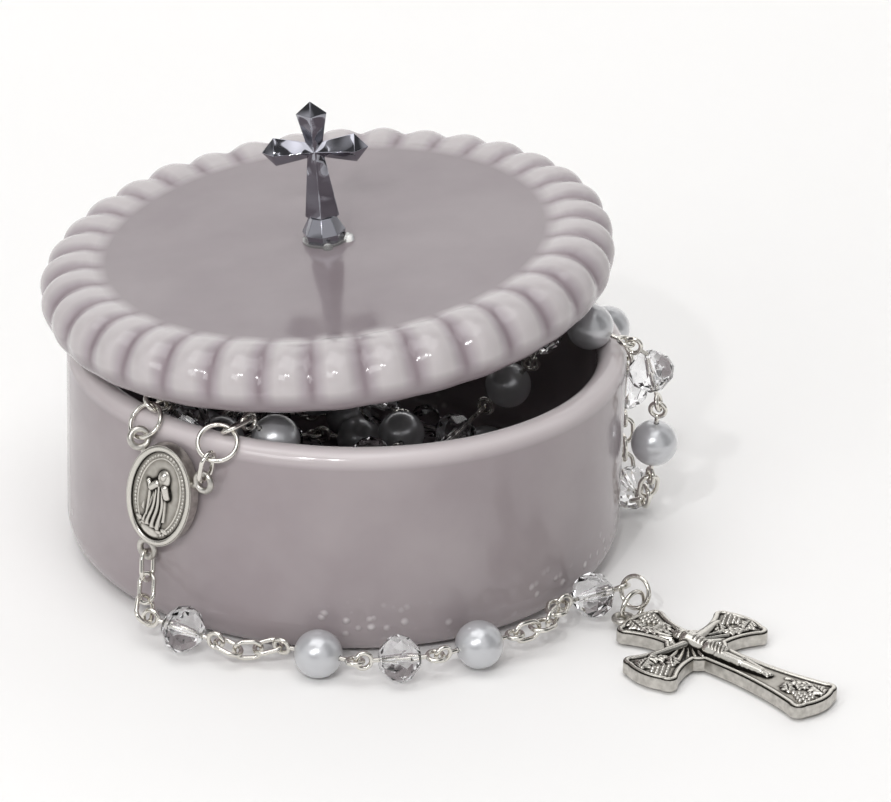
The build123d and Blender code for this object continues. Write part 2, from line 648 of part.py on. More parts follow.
TAIL_ROUTE = [
    (-32.8, -38.0, 12.6), (-33.2, -39.5, 9.0), (-33.6, -40.1, 6.1), (-32.0, -44.3, 5.5),
    (-19.5, -48.8, 3.9), (-17.6, -49.8, 3.0), (-13.2, -49.4, 3.0), (-9.6, -48.7, 4.1),
    (5.7, -57.5, 4.5), (17.7, -51.8, 4.2), (33.2, -43.2, 5.1), (35.3, -39.1, 4.8),
    (34.9, -36.9, 6.0), (38.0, -32.3, 3.7), (50.0, -26.3, 5.3), (53.4, -27.6, 4.2),
]
TAIL = (
    ["link"] * 3 + ["crystal"] + ["link"] * 3 + ["pearl", "crystal", "pearl"]
    + ["link"] * 4 + ["crystal"]
)
CRUCIFIX_LEVEL = 1.9
RINGS_ROLL = (75.0, -92.3)
RINGS_SIDE = (1.0, 0.3, 0.55)  # which way the crucifix's two rings are bent


def tail_points():
    """Hooking points of the short strand, from the medal's bottom lug to its last bead."""
    return walk([Vector(*point) for point in TAIL_ROUTE], TAIL)


def place(shape, location):
    """A copy of a shape at a location."""
    return shape.moved(location)


def crucifix_rest():
    """Where the crucifix lies, and the middle of its loop."""
    lies = Pos(*CRUCIFIX_LIES, CRUCIFIX_LEVEL) * Rot(0, 0, CRUCIFIX_HEADING)
    return lies, (lies * Pos(-CRUCIFIX_LUG_REACH, 0, 0)).position


def rolled(kind, start, end, roll, faces):
    """A link or ring from one hooking point to the next, rolled about its length from faces."""
    along = (end - start).normalized()
    flat = (faces - along * faces.dot(along)).normalized()
    normal = flat * cos(radians(roll)) + along.cross(flat) * sin(radians(roll))
    return Plane(origin=start + along * REACH[kind], x_dir=along, z_dir=normal)


def left_hookup(medal):
    """The medal's left ring and the link over the rim."""
    left = medal_point(medal, UPPER_LUG_REACH, -LUG_SPREAD)
    left_end = around(*LEFT_CROSSING)
    left_hook = left_end + (around(*LEFT_HOOK) - left_end).normalized() * PITCH["link"]
    inside_link = left_hook + (left_end - left_hook).normalized() * HOOK
    chord = inside_link - left
    normal = chord.cross(Vector(*LEFT_RING_SIDE)).normalized()
    outward = normal.cross(chord).normalized()
    radius = (BIG_RING - WIRE) / 2
    rise = sqrt(max(radius ** 2 - chord.dot(chord) / 4, 0))
    centre = (left + inside_link) * 0.5 + outward * rise
    ring = Plane(origin=centre, x_dir=chord, z_dir=normal)
    link = rolled("link", left_hook, left_end, LEFT_LINK_ROLL, UP + medal.z_dir)
    return [
        ("left_ring", "big_ring", ring.location, 0, 0),
        ("left_rim_link", "link", link.location, 0, 0),
    ]


def right_hookup(medal):
    """The link, ring and rim link from the medal's right lug over the rim."""
    kinds = ["link", "small_ring", "link"]
    spans = (PITCH["link"], PITCH["small_ring"], 2 * REACH["link"])
    points = [around(*RIGHT_CROSSING)]
    for span, hook in zip(reversed(spans), reversed(RIGHT_HOOKS)):
        points.append(points[-1] + (around(*hook) - points[-1]).normalized() * span)
    points.reverse()
    names = ("right_link", "right_ring", "right_rim_link")
    rows = zip(names, kinds, points, points[1:], RIGHT_ROLLS)
    faces = UP + medal.z_dir
    return [(n, k, rolled(k, p, q, roll, faces).location, 0, 0) for n, k, p, q, roll in rows]


def crucifix_rings(start):
    """The two rings from the short strand's last eye to the crucifix's loop."""
    loop = crucifix_rest()[1]
    between = elbow(start, loop, PITCH["small_ring"], 2 * REACH["small_ring"], Vector(*RINGS_SIDE))
    first = rolled("small_ring", start, between, RINGS_ROLL[0], UP)
    second = rolled("small_ring", between, loop, RINGS_ROLL[1], UP)
    return [
        ("crucifix_ring_1", "small_ring", first.location, 0, 0),
        ("crucifix_ring_2", "small_ring", second.location, 0, 0),
    ]


def rosary():
    """Every bead, pin, link and ring: (node or (bead, pin), kind, location, twist, lean)."""
    pieces = []

    def add(places, names):
        for (kind, location, twist), name in zip(places, names):
            pieces.append((name, kind, location, twist, 0))

    strands = dict((name, (kinds, points)) for name, kinds, points in loop_strands())
    group = {
        "pearl": ("pile_pearls", "pile_eye_pins"),
        "crystal": ("pile_crystals", "pile_eye_pins"),
        "link": "pile_chain_links",
    }
    pearl_start, hook, pivot, low_hook, low_end = swag()

    medal = medal_frame()
    left, right = left_hookup(medal), right_hookup(medal)

    # down into the box, out again to the pearl on the rim
    kinds, points = strands["inside"]
    first = square(Plane(left[-1][2]).z_dir, points[1] - points[0])
    names = [group[kind] for kind in kinds] + [("rim_pearl", "rim_pearl_pin")]
    add(string(kinds + ["pearl"], points + [hook], first), names)

    # the crystal that hangs from it outside
    drop = unit(*SWAG_DROP)
    tilt = (pivot - hook).normalized()
    turned = drop.cross(tilt).normalized()
    hangs = Plane(origin=Vector(*RIM_SWAG), x_dir=drop, z_dir=turned).location
    lean = degrees(acos(drop.dot(tilt)))
    pieces.append((("rim_crystal", "rim_crystal_pin"), "crystal", hangs, 90, lean))

    # the hanging pearl, round behind the box, over the rim and across the pile
    kinds, points = strands["outside"]
    names = [group[kind] for kind in kinds]
    for i in range(BACK_PIECES):
        names[i] = ("back_crystal", "back_eye_pin") if kinds[i] == "crystal" else "back_chain"
    low = square(drop.cross(turned), low_end - low_hook)
    last = square(Plane(right[-1][2]).z_dir, points[-1] - points[-2])
    places = string(["pearl"] + kinds, [low_hook] + points, low, last)
    add(places, [("lower_pearl", "lower_pearl_pin")] + names)

    # the links and rings from the rim to the medal
    pieces += left + right

    # the short strand
    points = tail_points()
    names = ["medal_links"] * 3 + [("tail_crystal_1", "tail_pin_1")] + ["tail_links_1"] * 3
    names += [("tail_pearl_2", "tail_pin_2"), ("tail_crystal_3", "tail_pin_3")]
    names += [("tail_pearl_4", "tail_pin_4")]
    names += ["tail_links_2"] * 4 + [("tail_crystal_5", "tail_pin_5")]
    rings = crucifix_rings(points[-1])
    last = square(Plane(rings[0][2]).z_dir, points[-1] - points[-2])
    add(string(TAIL, points, square(medal.z_dir, points[1] - points[0]), last), names)
    pieces += rings
    return pieces


def build():
    """Every node of the assembly: name to list of solids."""
    parts = {"box_body": [box_body()]}
    lid_place = lid_pose()
    parts["lid"] = [place(lid_upright(), lid_place)]
    parts["cross_finial"] = [place(cross_finial(), lid_place)]
    parts["finial_glue"] = [place(finial_glue(), lid_place)]
    parts["center_medal"] = [place(center_medal(), medal_frame().location)]
    parts["crucifix"] = [place(crucifix(), crucifix_rest()[0])]
    shapes = {
        "pearl": pearl(),
        "crystal": crystal(),
        "link": oval_link(),
        "big_ring": wire_ring(BIG_RING),
        "small_ring": wire_ring(SMALL_RING),
    }
    for name, kind, location, twist, lean in rosary():
        if kind in BEADS:
            bead, pin = name
            parts.setdefault(bead, []).append(place(shapes[kind], location))
            parts.setdefault(pin, []).append(place(eye_pin(BEADS[kind], twist, lean), location))
        else:
            parts.setdefault(name, []).append(place(shapes[kind], location))
    return parts


def main():
    """Writes one STEP file for each node."""
    os.makedirs("parts", exist_ok=True)
    for name, solids in build().items():
        shape = solids[0] if len(solids) == 1 else Compound(label=name, children=solids)
        export_step(shape, f"parts/{name}.step")


if __name__ == "__main__":
    main()
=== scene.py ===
"""A rosary box of glazed ceramic, dressed for the camera around its CAD frame."""

# %% [markdown]
# The CAD frame holds every solid piece of the box and of the rosary, in metres, with +Z
# up. It is loaded first and never moved. All that follows gives those pieces their
# finishes, and adds the fine relief that is too small for the solids.

import json
import math

import bmesh
import bpy
import numpy as np
from mathutils import Matrix, Vector


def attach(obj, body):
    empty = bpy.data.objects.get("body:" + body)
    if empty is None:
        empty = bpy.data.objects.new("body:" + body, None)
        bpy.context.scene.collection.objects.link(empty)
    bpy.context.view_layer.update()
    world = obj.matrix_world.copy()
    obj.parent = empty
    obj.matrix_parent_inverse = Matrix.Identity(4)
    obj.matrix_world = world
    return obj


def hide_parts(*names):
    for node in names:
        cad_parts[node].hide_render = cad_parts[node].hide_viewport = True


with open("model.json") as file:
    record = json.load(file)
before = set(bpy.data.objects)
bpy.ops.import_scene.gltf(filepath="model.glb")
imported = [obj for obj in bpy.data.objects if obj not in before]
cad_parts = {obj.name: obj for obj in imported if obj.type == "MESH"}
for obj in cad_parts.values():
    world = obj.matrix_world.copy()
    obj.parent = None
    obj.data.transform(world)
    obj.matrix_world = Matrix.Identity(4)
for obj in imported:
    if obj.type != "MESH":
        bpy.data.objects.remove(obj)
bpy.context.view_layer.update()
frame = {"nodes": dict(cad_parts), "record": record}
nodes = frame["nodes"]
MM = 0.001
print("CAD nodes:", len(nodes))

# %% [markdown]
# Colours are written as the sRGB hex codes that a paint chart would give. Blender wants
# linear light, so one function converts them. A second small function adds one node with
# its settings and links, which keeps each material short enough to read.

# %% Helpers for colours, nodes and objects


def linear(code, alpha=1.0):
    """Linear colour from an sRGB hex code."""
    parts = [int(code[i : i + 2], 16) / 255 for i in (1, 3, 5)]
    parts = [p / 12.92 if p < 0.04045 else ((p + 0.055) / 1.055) ** 2.4 for p in parts]
    return (*parts, alpha)


def add(tree, kind, inputs=None, **settings):
    """Adds a node. Inputs are values, or sockets to link from."""
    made = tree.nodes.new(kind)
    for name, value in settings.items():
        setattr(made, name, value)
    for name, value in (inputs or {}).items():
        if isinstance(value, bpy.types.NodeSocket):
            tree.links.new(value, made.inputs[name])
        else:
            made.inputs[name].default_value = value
    return made


def maths(tree, operation, first, second=None, clamp=False):
    """One sum on numbers or sockets."""
    inputs = {0: first}
    if second is not None:
        inputs[1] = second
    return add(tree, "ShaderNodeMath", inputs, operation=operation, use_clamp=clamp).outputs[0]


def ramp(tree, factor, *stops):
    """A colour ramp through (place, colour) stops."""
    made = add(tree, "ShaderNodeValToRGB", {"Fac": factor})
    elements = made.color_ramp.elements
    while len(elements) < len(stops):
        elements.new(0.5)
    for element, (place, colour) in zip(elements, stops):
        element.position = place
        element.color = colour
    return made.outputs["Color"]


def new_material(name):
    """An empty material: its tree and its one surface shader."""
    material = bpy.data.materials.new(name)
    material.use_nodes = True
    tree = material.node_tree
    shader = tree.nodes["Principled BSDF"]
    return material, tree, shader


def feed(tree, shader, **sockets):
    """Sets or links a shader's sockets, whose names are given with underscores."""
    for name, value in sockets.items():
        socket = shader.inputs[name.replace("_", " ")]
        if isinstance(value, bpy.types.NodeSocket):
            tree.links.new(value, socket)
        else:
            socket.default_value = value


def new_object(name, data):
    """Puts a mesh, a light or a camera in the scene as an object."""
    made = bpy.data.objects.new(name, data)
    bpy.context.scene.collection.objects.link(made)
    return made


def noise(tree, place, scale, detail):
    """Plain noise over a place, in patches of about 1 / scale metres."""
    inputs = {"Vector": place, "Scale": scale, "Detail": detail}
    return add(tree, "ShaderNodeTexNoise", inputs).outputs["Fac"]


def bump(tree, height, strength, depth_mm):
    """A bump node that lifts the surface by a height."""
    inputs = {"Height": height, "Strength": strength, "Distance": depth_mm * MM}
    return add(tree, "ShaderNodeBump", inputs)


def nodes_in(slot):
    """Names of the CAD nodes that share a material slot."""
    return [n["node"] for n in frame["record"]["subparts"] if n["material_slot"] == slot]


def finish_with(material, *names):
    """Gives CAD nodes a material."""
    for name in names:
        mesh = nodes[name].data
        mesh.materials.clear()
        mesh.materials.append(material)


# %% [markdown]
# The lid's lobes are soft: the glaze fills the grooves between them and runs into the
# flat top without an edge. Sharp ellipsoids are right for the solid but look like eggs,
# so the glazed skin is found here as one smooth blend. From a ring inside the rim, rays
# go out in every direction, and each is followed to where the blended shape ends.

# %% Glazed lid
LID_TOP = Vector((-4.2, 1.5, 55.3)) * MM
LID_LEANS = (math.radians(2.2), math.radians(-6.7))
LID_THICK = 10.0
LID_FLAT = 9.2
LOBES = 35
LOBE_RING = 43.0
LOBE_LEVEL = 5.2
LOBE_AXES = (5.5, 4.8, 4.8)
LOBE_SPREAD = 0.022
GROOVE_BLEND = 0.5
BLEND = 1.1
GLAZE_SHRINK = 0.12
RAY_RING = (41.0, 5.0)
RAY_REACH = 9.5
RAY_FIRST, RAY_LAST = 140, -86
HALVINGS = 20
COLUMNS_PER_LOBE = 14
RAYS = 96
TOP_RINGS = (6.0, 20.0, 32.0)
UNDERSIDE = [
    (40.6, 0.0), (40.5, -0.3), (40.5, -1.6), (40.2, -2.2), (39.6, -2.5),
    (37.4, -2.5), (36.8, -2.2), (36.5, -1.6), (36.5, -0.3), (36.4, 0.0), (18.0, 0.0),
]
lid_place = (
    Matrix.Translation(LID_TOP)
    @ Matrix.Rotation(LID_LEANS[1], 4, "Y")
    @ Matrix.Rotation(LID_LEANS[0], 4, "X")
    @ Matrix.Translation((0, 0, -LID_THICK * MM))
)


AT_ONCE = 4000


def inside_distance(points, outline):
    """Distance of points to a closed outline, positive inside."""
    steps = np.roll(outline, -1, axis=0) - outline
    lengths = (steps**2).sum(1) + 1e-12
    rise = np.where(np.abs(steps[:, 1]) < 1e-12, 1e-12, steps[:, 1])
    low, high = outline[:, 1], (outline + steps)[:, 1]
    found = np.empty(len(points))
    for first in range(0, len(points), AT_ONCE):
        some = points[first : first + AT_ONCE]
        offset = some[:, None, :] - outline[None]
        along = np.clip((offset * steps).sum(2) / lengths, 0, 1)
        gap = offset - along[..., None] * steps
        near = np.sqrt((gap**2).sum(2)).min(1)
        y = some[:, 1:2]
        crossing = (low <= y) != (high <= y)
        x = outline[:, 0] + (y - low) / rise * steps[:, 0]
        odd = (crossing & (x > some[:, 0:1])).sum(1) % 2 == 1
        found[first : first + AT_ONCE] = np.where(odd, near, -near)
    return found


def arc(start, through, end, count=14):
    """Points of the arc through three points, without the last."""
    (ax, ay), (bx, by), (cx, cy) = start, through, end
    d = 2 * (ax * (by - cy) + bx * (cy - ay) + cx * (ay - by))
    a2, b2, c2 = ax**2 + ay**2, bx**2 + by**2, cx**2 + cy**2
    ox = (a2 * (by - cy) + b2 * (cy - ay) + c2 * (ay - by)) / d
    oy = (a2 * (cx - bx) + b2 * (ax - cx) + c2 * (bx - ax)) / d
    radius = math.hypot(ax - ox, ay - oy)
    one, mid, two = (math.atan2(q[1] - oy, q[0] - ox) for q in (start, through, end))
    sweep = (two - one) % (2 * math.pi)
    if (mid - one) % (2 * math.pi) > sweep:
        sweep -= 2 * math.pi
    turns = one + sweep * np.arange(count) / count
    return np.column_stack([ox + radius * np.cos(turns), oy + radius * np.sin(turns)])


def blend(one, two, soft):
    """The larger of two values, with the corner between them rounded."""
    return (one + two + np.sqrt((one - two) ** 2 + soft**2)) / 2


disc_outline = np.concatenate(
    [
        [(0.0, 0.0)],
        arc((45.0, 0.0), (47.12, 0.88), (48.0, 3.0), 8),
        [(48.0, 3.0)],
        arc((48.0, 4.2), (46.1, 7.3), (39.0, LID_FLAT), 16),
        [(39.0, LID_FLAT), (0.0, LID_FLAT)],
    ]
)
chance = np.random.default_rng(35)
lobe_size = 1 + LOBE_SPREAD * chance.standard_normal(LOBES)


def lid_depth(bearing, radius, level):
    """How far points lie inside the lid: the disc blended with its two nearest lobes."""
    turns = bearing / (2 * math.pi) * LOBES - 0.5
    found = None
    for number in (np.floor(turns), np.floor(turns) + 1):
        size = lobe_size[number.astype(int) % LOBES]
        swing = (turns - number) * 2 * math.pi / LOBES
        out = radius * np.cos(swing) - LOBE_RING
        offset = np.stack([out, radius * np.sin(swing), level - LOBE_LEVEL], axis=-1)
        scaled = offset / (np.array(LOBE_AXES) * size[:, None])
        reach = np.linalg.norm(scaled, axis=1) + 1e-9
        slope = np.linalg.norm(scaled / LOBE_AXES, axis=1) + 1e-9
        depth = reach * (1 - reach) / slope
        found = depth if found is None else blend(found, depth, GROOVE_BLEND)
    disc = inside_distance(np.column_stack([radius, level]), disc_outline)
    return blend(found, disc, BLEND) - GLAZE_SHRINK


columns = LOBES * COLUMNS_PER_LOBE
bearings = 2 * math.pi * np.arange(columns) / columns
tilts = np.radians(np.linspace(RAY_FIRST, RAY_LAST, RAYS))
bearing = np.tile(bearings, RAYS)
tilt = np.repeat(tilts, columns)
near, far = np.zeros(len(tilt)), np.full(len(tilt), RAY_REACH)
for _ in range(HALVINGS):
    middle = (near + far) / 2
    radius = RAY_RING[0] + middle * np.cos(tilt)
    level = RAY_RING[1] + middle * np.sin(tilt)
    inside = lid_depth(bearing, radius, level) > 0
    near, far = np.where(inside, middle, near), np.where(inside, far, middle)
radius = RAY_RING[0] + near * np.cos(tilt)
level = RAY_RING[1] + near * np.sin(tilt)
top = level[:columns].mean()
rings = [(np.full(columns, r), np.full(columns, top)) for r in TOP_RINGS]
rings += list(zip(radius.reshape(RAYS, columns), level.reshape(RAYS, columns)))
rings += [(np.full(columns, r), np.full(columns, z)) for r, z in UNDERSIDE]
points = [np.column_stack([r * np.cos(bearings), r * np.sin(bearings), z]) for r, z in rings]
points = np.concatenate(points + [[(0, 0, top), (0, 0, 0)]])
row = np.arange(columns)
after = (row + 1) % columns
faces = []
for k in range(len(rings) - 1):
    one, two = k * columns, (k + 1) * columns
    faces += np.stack([one + row, two + row, two + after, one + after], 1).tolist()
last = (len(rings) - 1) * columns
faces += [(len(points) - 2, int(a), int(b)) for a, b in zip(row, after)]
faces += [(len(points) - 1, int(last + b), int(last + a)) for a, b in zip(row, after)]
mesh = bpy.data.meshes.new("glazed_lid")
mesh.from_pydata(points.tolist(), [], faces)
mesh.transform(lid_place @ Matrix.Scale(MM, 4))
mesh.shade_smooth()
glazed_lid = new_object("glazed_lid", mesh)
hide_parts("lid")
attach(glazed_lid, "lid")
print("glazed lid:", len(mesh.polygons), "faces")

# %% [markdown]
# The box and lid are earthenware under a clear-tinted gloss glaze. Where the glaze lies
# thick, in the grooves between the lobes and along the foot, its lilac turns to mauve,
# and on every crest it thins and shows the pale clay. That is drawn here from the shape
# itself: the angle round the lid places the grooves, and the height places the crests.
# The pale band along the box's rim is both its thin glaze and a painted highlight on its
# rounded top.

# %% Glaze
GLAZE_BODY = "#9f969a"
GLAZE_THIN = "#b9b3b4"
GLAZE_THICK = "#877b80"
LID_FIELD = ("#8b8285", "#82787c")
BOX_WALL = ("#9d9496", "#91878a")
# the rim colour is its thin pale glaze together with a painted highlight on the rounded top
BOX_RIM_PALE_GLAZE_AND_HIGHLIGHT = "#cdc5c6"
SPECK = "#d5cfd0"


def glaze_surface(tree, shader, colour, height=None):
    """Gloss glaze: a smooth glassy skin, with the faint waves of a dipped coat."""
    place = add(tree, "ShaderNodeTexCoord").outputs["Object"]
    ripple = bump(tree, noise(tree, place, 85.0, 1.0), 0.10, 0.6)
    if height is not None:
        specks = bump(tree, height, 0.8, 0.25)
        tree.links.new(ripple.outputs["Normal"], specks.inputs["Normal"])
        ripple = specks
    feed(
        tree,
        shader,
        Base_Color=colour,
        Roughness=0.13,
        IOR=1.47,
        Subsurface_Weight=0.06,
        Subsurface_Radius=(0.004, 0.003, 0.003),
        Normal=ripple.outputs["Normal"],
    )


def mottle(tree, place, pale, deep):
    """The cloudy mix of two glaze tones, in patches of 10 to 20 mm."""
    cloud = noise(tree, place, 45.0, 4.0)
    return ramp(tree, cloud, (0.35, linear(deep)), (0.65, linear(pale)))


def within(tree, value, low, high):
    """Rises from 0 to 1 while a value goes from low to high."""
    inputs = {"Value": value, "From Min": low, "From Max": high}
    return add(tree, "ShaderNodeMapRange", inputs, clamp=True).outputs["Result"]


def mixed_colour(tree, factor, first, second):
    """One colour or socket where the factor is 0, and another where it is 1."""
    made = add(tree, "ShaderNodeMix", {"Factor": factor}, data_type="RGBA")
    for socket, value in ((made.inputs[6], first), (made.inputs[7], second)):
        if isinstance(value, bpy.types.NodeSocket):
            tree.links.new(value, socket)
        else:
            socket.default_value = value
    return made.outputs[2]


lid_glaze, tree, shader = new_material("lilac_glaze_lid")
place = add(tree, "ShaderNodeTexCoord").outputs["Object"]
upright = add(
    tree,
    "ShaderNodeMapping",
    {"Vector": place, "Location": LID_TOP, "Rotation": (LID_LEANS[0], LID_LEANS[1], 0.0)},
    vector_type="TEXTURE",
).outputs["Vector"]
parts = add(tree, "ShaderNodeSeparateXYZ", {"Vector": upright})
angle = maths(tree, "ARCTAN2", parts.outputs["Y"], parts.outputs["X"])
phase = maths(tree, "FRACT", maths(tree, "MULTIPLY", angle, LOBES / (2 * math.pi)))
from_crest = maths(tree, "ABSOLUTE", maths(tree, "SUBTRACT", phase, 0.5))
flat = add(tree, "ShaderNodeCombineXYZ", {"X": parts.outputs["X"], "Y": parts.outputs["Y"]})
length = add(tree, "ShaderNodeVectorMath", {0: flat.outputs["Vector"]}, operation="LENGTH")
out_from_middle = length.outputs["Value"]
on_lobes = within(tree, out_from_middle, 0.0370, 0.0395)
above_band = within(tree, parts.outputs["Z"], -0.0080, -0.0055)
lobe_tone = ramp(
    tree,
    from_crest,
    (0.18, linear(GLAZE_THIN)),
    (0.38, linear(GLAZE_BODY)),
    (0.48, linear(GLAZE_THICK)),
)
field_tone = mottle(tree, place, *LID_FIELD)
lid_tone = mixed_colour(tree, maths(tree, "MULTIPLY", on_lobes, above_band), field_tone, lobe_tone)
glaze_surface(tree, shader, lid_tone)
finish_with(lid_glaze, "lid")
glazed_lid.data.materials.append(lid_glaze)

box_glaze, tree, shader = new_material("lilac_glaze_box")
place = add(tree, "ShaderNodeTexCoord").outputs["Object"]
height = add(tree, "ShaderNodeSeparateXYZ", {"Vector": place}).outputs["Z"]
wall_tone = mottle(tree, place, *BOX_WALL)
# the rim band: thin pale glaze, plus a painted highlight where the rounded rim catches the light
rim_pale_glaze_and_highlight = within(tree, height, 0.0345, 0.0368)
dots = add(tree, "ShaderNodeTexVoronoi", {"Vector": place, "Scale": 420.0}).outputs["Distance"]
patches = noise(tree, place, 70.0, 2.0)
over_foot = within(tree, height, 0.003, 0.006)
low_down = maths(tree, "MULTIPLY", over_foot, within(tree, height, 0.012, 0.007))
spotted = maths(tree, "MULTIPLY", low_down, within(tree, patches, 0.5, 0.6))
specks = maths(tree, "MULTIPLY", within(tree, dots, 0.32, 0.12), spotted)
box_tone = mixed_colour(tree, rim_pale_glaze_and_highlight, wall_tone, linear(BOX_RIM_PALE_GLAZE_AND_HIGHLIGHT))
box_tone = mixed_colour(tree, maths(tree, "MULTIPLY", specks, 0.7), box_tone, linear(SPECK))
glaze_surface(tree, shader, box_tone, specks)
finish_with(box_glaze, "box_body")
print("glazed: box and lid")

# %% [markdown]
# The metal pieces are of three sorts. The cross on the lid is a zinc casting with bright
# chrome plate, the wire and links are bright nickel plate, and the medal and the crucifix
# are silver plate that was dipped to blacken it and then rubbed, so that only the hollows
# stay dark. All three keep a metal's own index and differ in colour and roughness.

# %% Metals
chrome, tree, shader = new_material("chrome_plate")
place = add(tree, "ShaderNodeTexCoord").outputs["Object"]
uneven = bump(tree, noise(tree, place, 260.0, 0.0), 1.0, 0.4)
feed(
    tree,
    shader,
    Base_Color=linear("#9a9aa2"),
    Metallic=1.0,
    Roughness=0.06,
    Normal=uneven.outputs["Normal"],
)
finish_with(chrome, "cross_finial")
mesh = nodes["cross_finial"].data.copy()
mesh.name = "chromed_cross"
work = bmesh.new()
work.from_mesh(mesh)
bmesh.ops.remove_doubles(work, verts=work.verts, dist=0.002 * MM)
bmesh.ops.dissolve_limit(work, angle_limit=math.radians(1), verts=work.verts, edges=work.edges)
work.to_mesh(mesh)
work.free()
chromed_cross = new_object("chromed_cross", mesh)
rounding = chromed_cross.modifiers.new("rounded_edges", "BEVEL")
rounding.width = 0.28 * MM
rounding.segments = 3
rounding.limit_method = "ANGLE"
rounding.angle_limit = math.radians(15)
rounding.harden_normals = True
mesh.shade_smooth()
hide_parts("cross_finial")
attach(chromed_cross, "lid")

wire_plate, tree, shader = new_material("nickel_plated_wire")
feed(tree, shader, Base_Color=linear("#dedbd4"), Metallic=1.0, Roughness=0.1)
wire_nodes = nodes_in("wire")
finish_with(wire_plate, *wire_nodes)

GRAIN_SCALE = 900.0
old_silver, tree, shader = new_material("oxidised_silver")
place = add(tree, "ShaderNodeTexCoord").outputs["Object"]
grain = noise(tree, place, GRAIN_SCALE, 3.0)
tone = ramp(tree, grain, (0.3, linear("#a9a6a0")), (0.7, linear("#cfccc6")))
feed(tree, shader, Base_Color=tone, Metallic=1.0, Roughness=0.3)
finish_with(old_silver, "center_medal", "crucifix")
print("metal nodes:", len(wire_nodes) + 3)

# %% [markdown]
# The pearls are glass balls with many coats of pearl essence. Light comes back from just
# under the skin, half as from metal and half as from milk, under a clean hard gloss.
# The crystals are clear cut glass, and the glue is clear too.

# %% Beads and glue
pearl_coat, tree, shader = new_material("pearl_essence_on_glass")
feed(
    tree,
    shader,
    Base_Color=linear("#c2c3c6"),
    Roughness=0.3,
    IOR=1.53,
    Metallic=0.45,
    Coat_Weight=1.0,
    Coat_Roughness=0.03,
    Subsurface_Weight=0.1,
    Subsurface_Radius=(0.001, 0.001, 0.001),
)
pearls = nodes_in("pearl")
finish_with(pearl_coat, *pearls)

cut_glass, tree, shader = new_material("cut_glass")
feed(tree, shader, Base_Color=linear("#fcfcfd"), Roughness=0.02, IOR=1.52, Transmission_Weight=1.0)
crystals = nodes_in("crystal")
finish_with(cut_glass, *crystals)

clear_glue, tree, shader = new_material("clear_set_glue")
feed(tree, shader, Base_Color=linear("#f4f4f2"), Roughness=0.08, IOR=1.47, Transmission_Weight=0.85)
finish_with(clear_glue, "finial_glue")
print("pearl nodes:", len(pearls), "crystal nodes:", len(crystals))

# %% [markdown]
# The medal and the crucifix are cast in low relief. A relief is a height for every point
# of a flat face, so each is made here as a fine grid of points inside the piece's
# outline, lifted by a function that adds up simple mounds, ridges and grooves. The grid
# is then closed behind, so that it is a thin solid cap on the plain casting below. Each
# point also stores how far it lies under its surroundings, where the blackening stays.

# %% Grid reliefs
CAVITY_REACH = 0.42
PROBE = 0.02
SHARP = math.radians(70)


def spread(values, reach):
    """Values on a grid averaged over a square round each, by running sums, twice."""
    for _ in range(2):
        for axis in (0, 1):
            values = np.moveaxis(values, axis, 0)
            padded = np.pad(values, ((reach + 1, reach), (0, 0)))
            sums = padded.cumsum(0)
            values = (sums[2 * reach + 1 :] - sums[: -2 * reach - 1]) / (2 * reach + 1)
            values = np.moveaxis(values, 0, axis)
    return values


def cast_relief(name, place, half_width, half_height, step, distance, height, back, centre=(0, 0)):
    """A closed cap over an outline: a grid lifted by height, with a wall and a flat back."""
    columns = int(2 * half_width / step) + 3
    rows = int(2 * half_height / step) + 3
    x = (np.arange(columns) - (columns - 1) / 2) * step + centre[0]
    y = (np.arange(rows) - (rows - 1) / 2) * step + centre[1]
    grid = np.stack(np.meshgrid(x, y), axis=-1).reshape(-1, 2)
    depth = distance(grid)
    rises = [distance(grid + shift) - depth for shift in ((PROBE, 0), (0, PROBE))]
    slope = np.stack(rises, axis=1)
    slope /= np.linalg.norm(slope, axis=1, keepdims=True) + 1e-9
    kept = depth > -0.6 * step
    moved = grid - slope * np.minimum(depth, 0)[:, None]
    index = np.arange(columns * rows).reshape(rows, columns)
    corners = (index[:-1, :-1], index[:-1, 1:], index[1:, 1:], index[1:, :-1])
    quads = np.stack(corners, axis=-1).reshape(-1, 4)
    quads = quads[kept[quads].all(1)]
    used = np.unique(quads)
    number = np.full(columns * rows, -1)
    number[used] = np.arange(len(used))
    flat = moved[used]
    lift = height(flat, np.maximum(depth[used], 0))
    points = np.column_stack([flat, lift])
    whole = np.zeros(columns * rows)
    weight = np.zeros(columns * rows)
    whole[used], weight[used] = lift, 1
    reach = max(2, int(CAVITY_REACH / step))
    total = spread(whole.reshape(rows, columns), reach)
    around = total / np.maximum(spread(weight.reshape(rows, columns), reach), 1e-6)
    hollow = (around.reshape(-1)[used] - lift).tolist()
    mesh = bpy.data.meshes.new(name)
    mesh.from_pydata(points.tolist(), [], number[quads].tolist())
    work = bmesh.new()
    work.from_mesh(mesh)
    layer = work.verts.layers.float.new("hollow")
    for vertex, value in zip(work.verts, hollow):
        vertex[layer] = value
    edges = [edge for edge in work.edges if edge.is_boundary]
    wall = bmesh.ops.extrude_edge_only(work, edges=edges)["geom"]
    for piece in wall:
        if isinstance(piece, bmesh.types.BMVert):
            piece.co.z = back
            piece[layer] = 0
    rim = [e for e in wall if isinstance(e, bmesh.types.BMEdge) and e.is_boundary]
    bmesh.ops.triangle_fill(work, use_beauty=True, edges=rim)
    bmesh.ops.recalc_face_normals(work, faces=work.faces)
    work.to_mesh(mesh)
    work.free()
    mesh.transform(place @ Matrix.Scale(MM, 4))
    mesh.shade_smooth()
    mesh.set_sharp_from_angle(angle=SHARP)
    print(name, len(mesh.polygons), "faces")
    return new_object(name, mesh)


def ridge(value, middle, half):
    """A rounded ridge, 1 at its middle and 0 at each side."""
    return np.sqrt(np.clip(1 - ((value - middle) / half) ** 2, 0, 1))


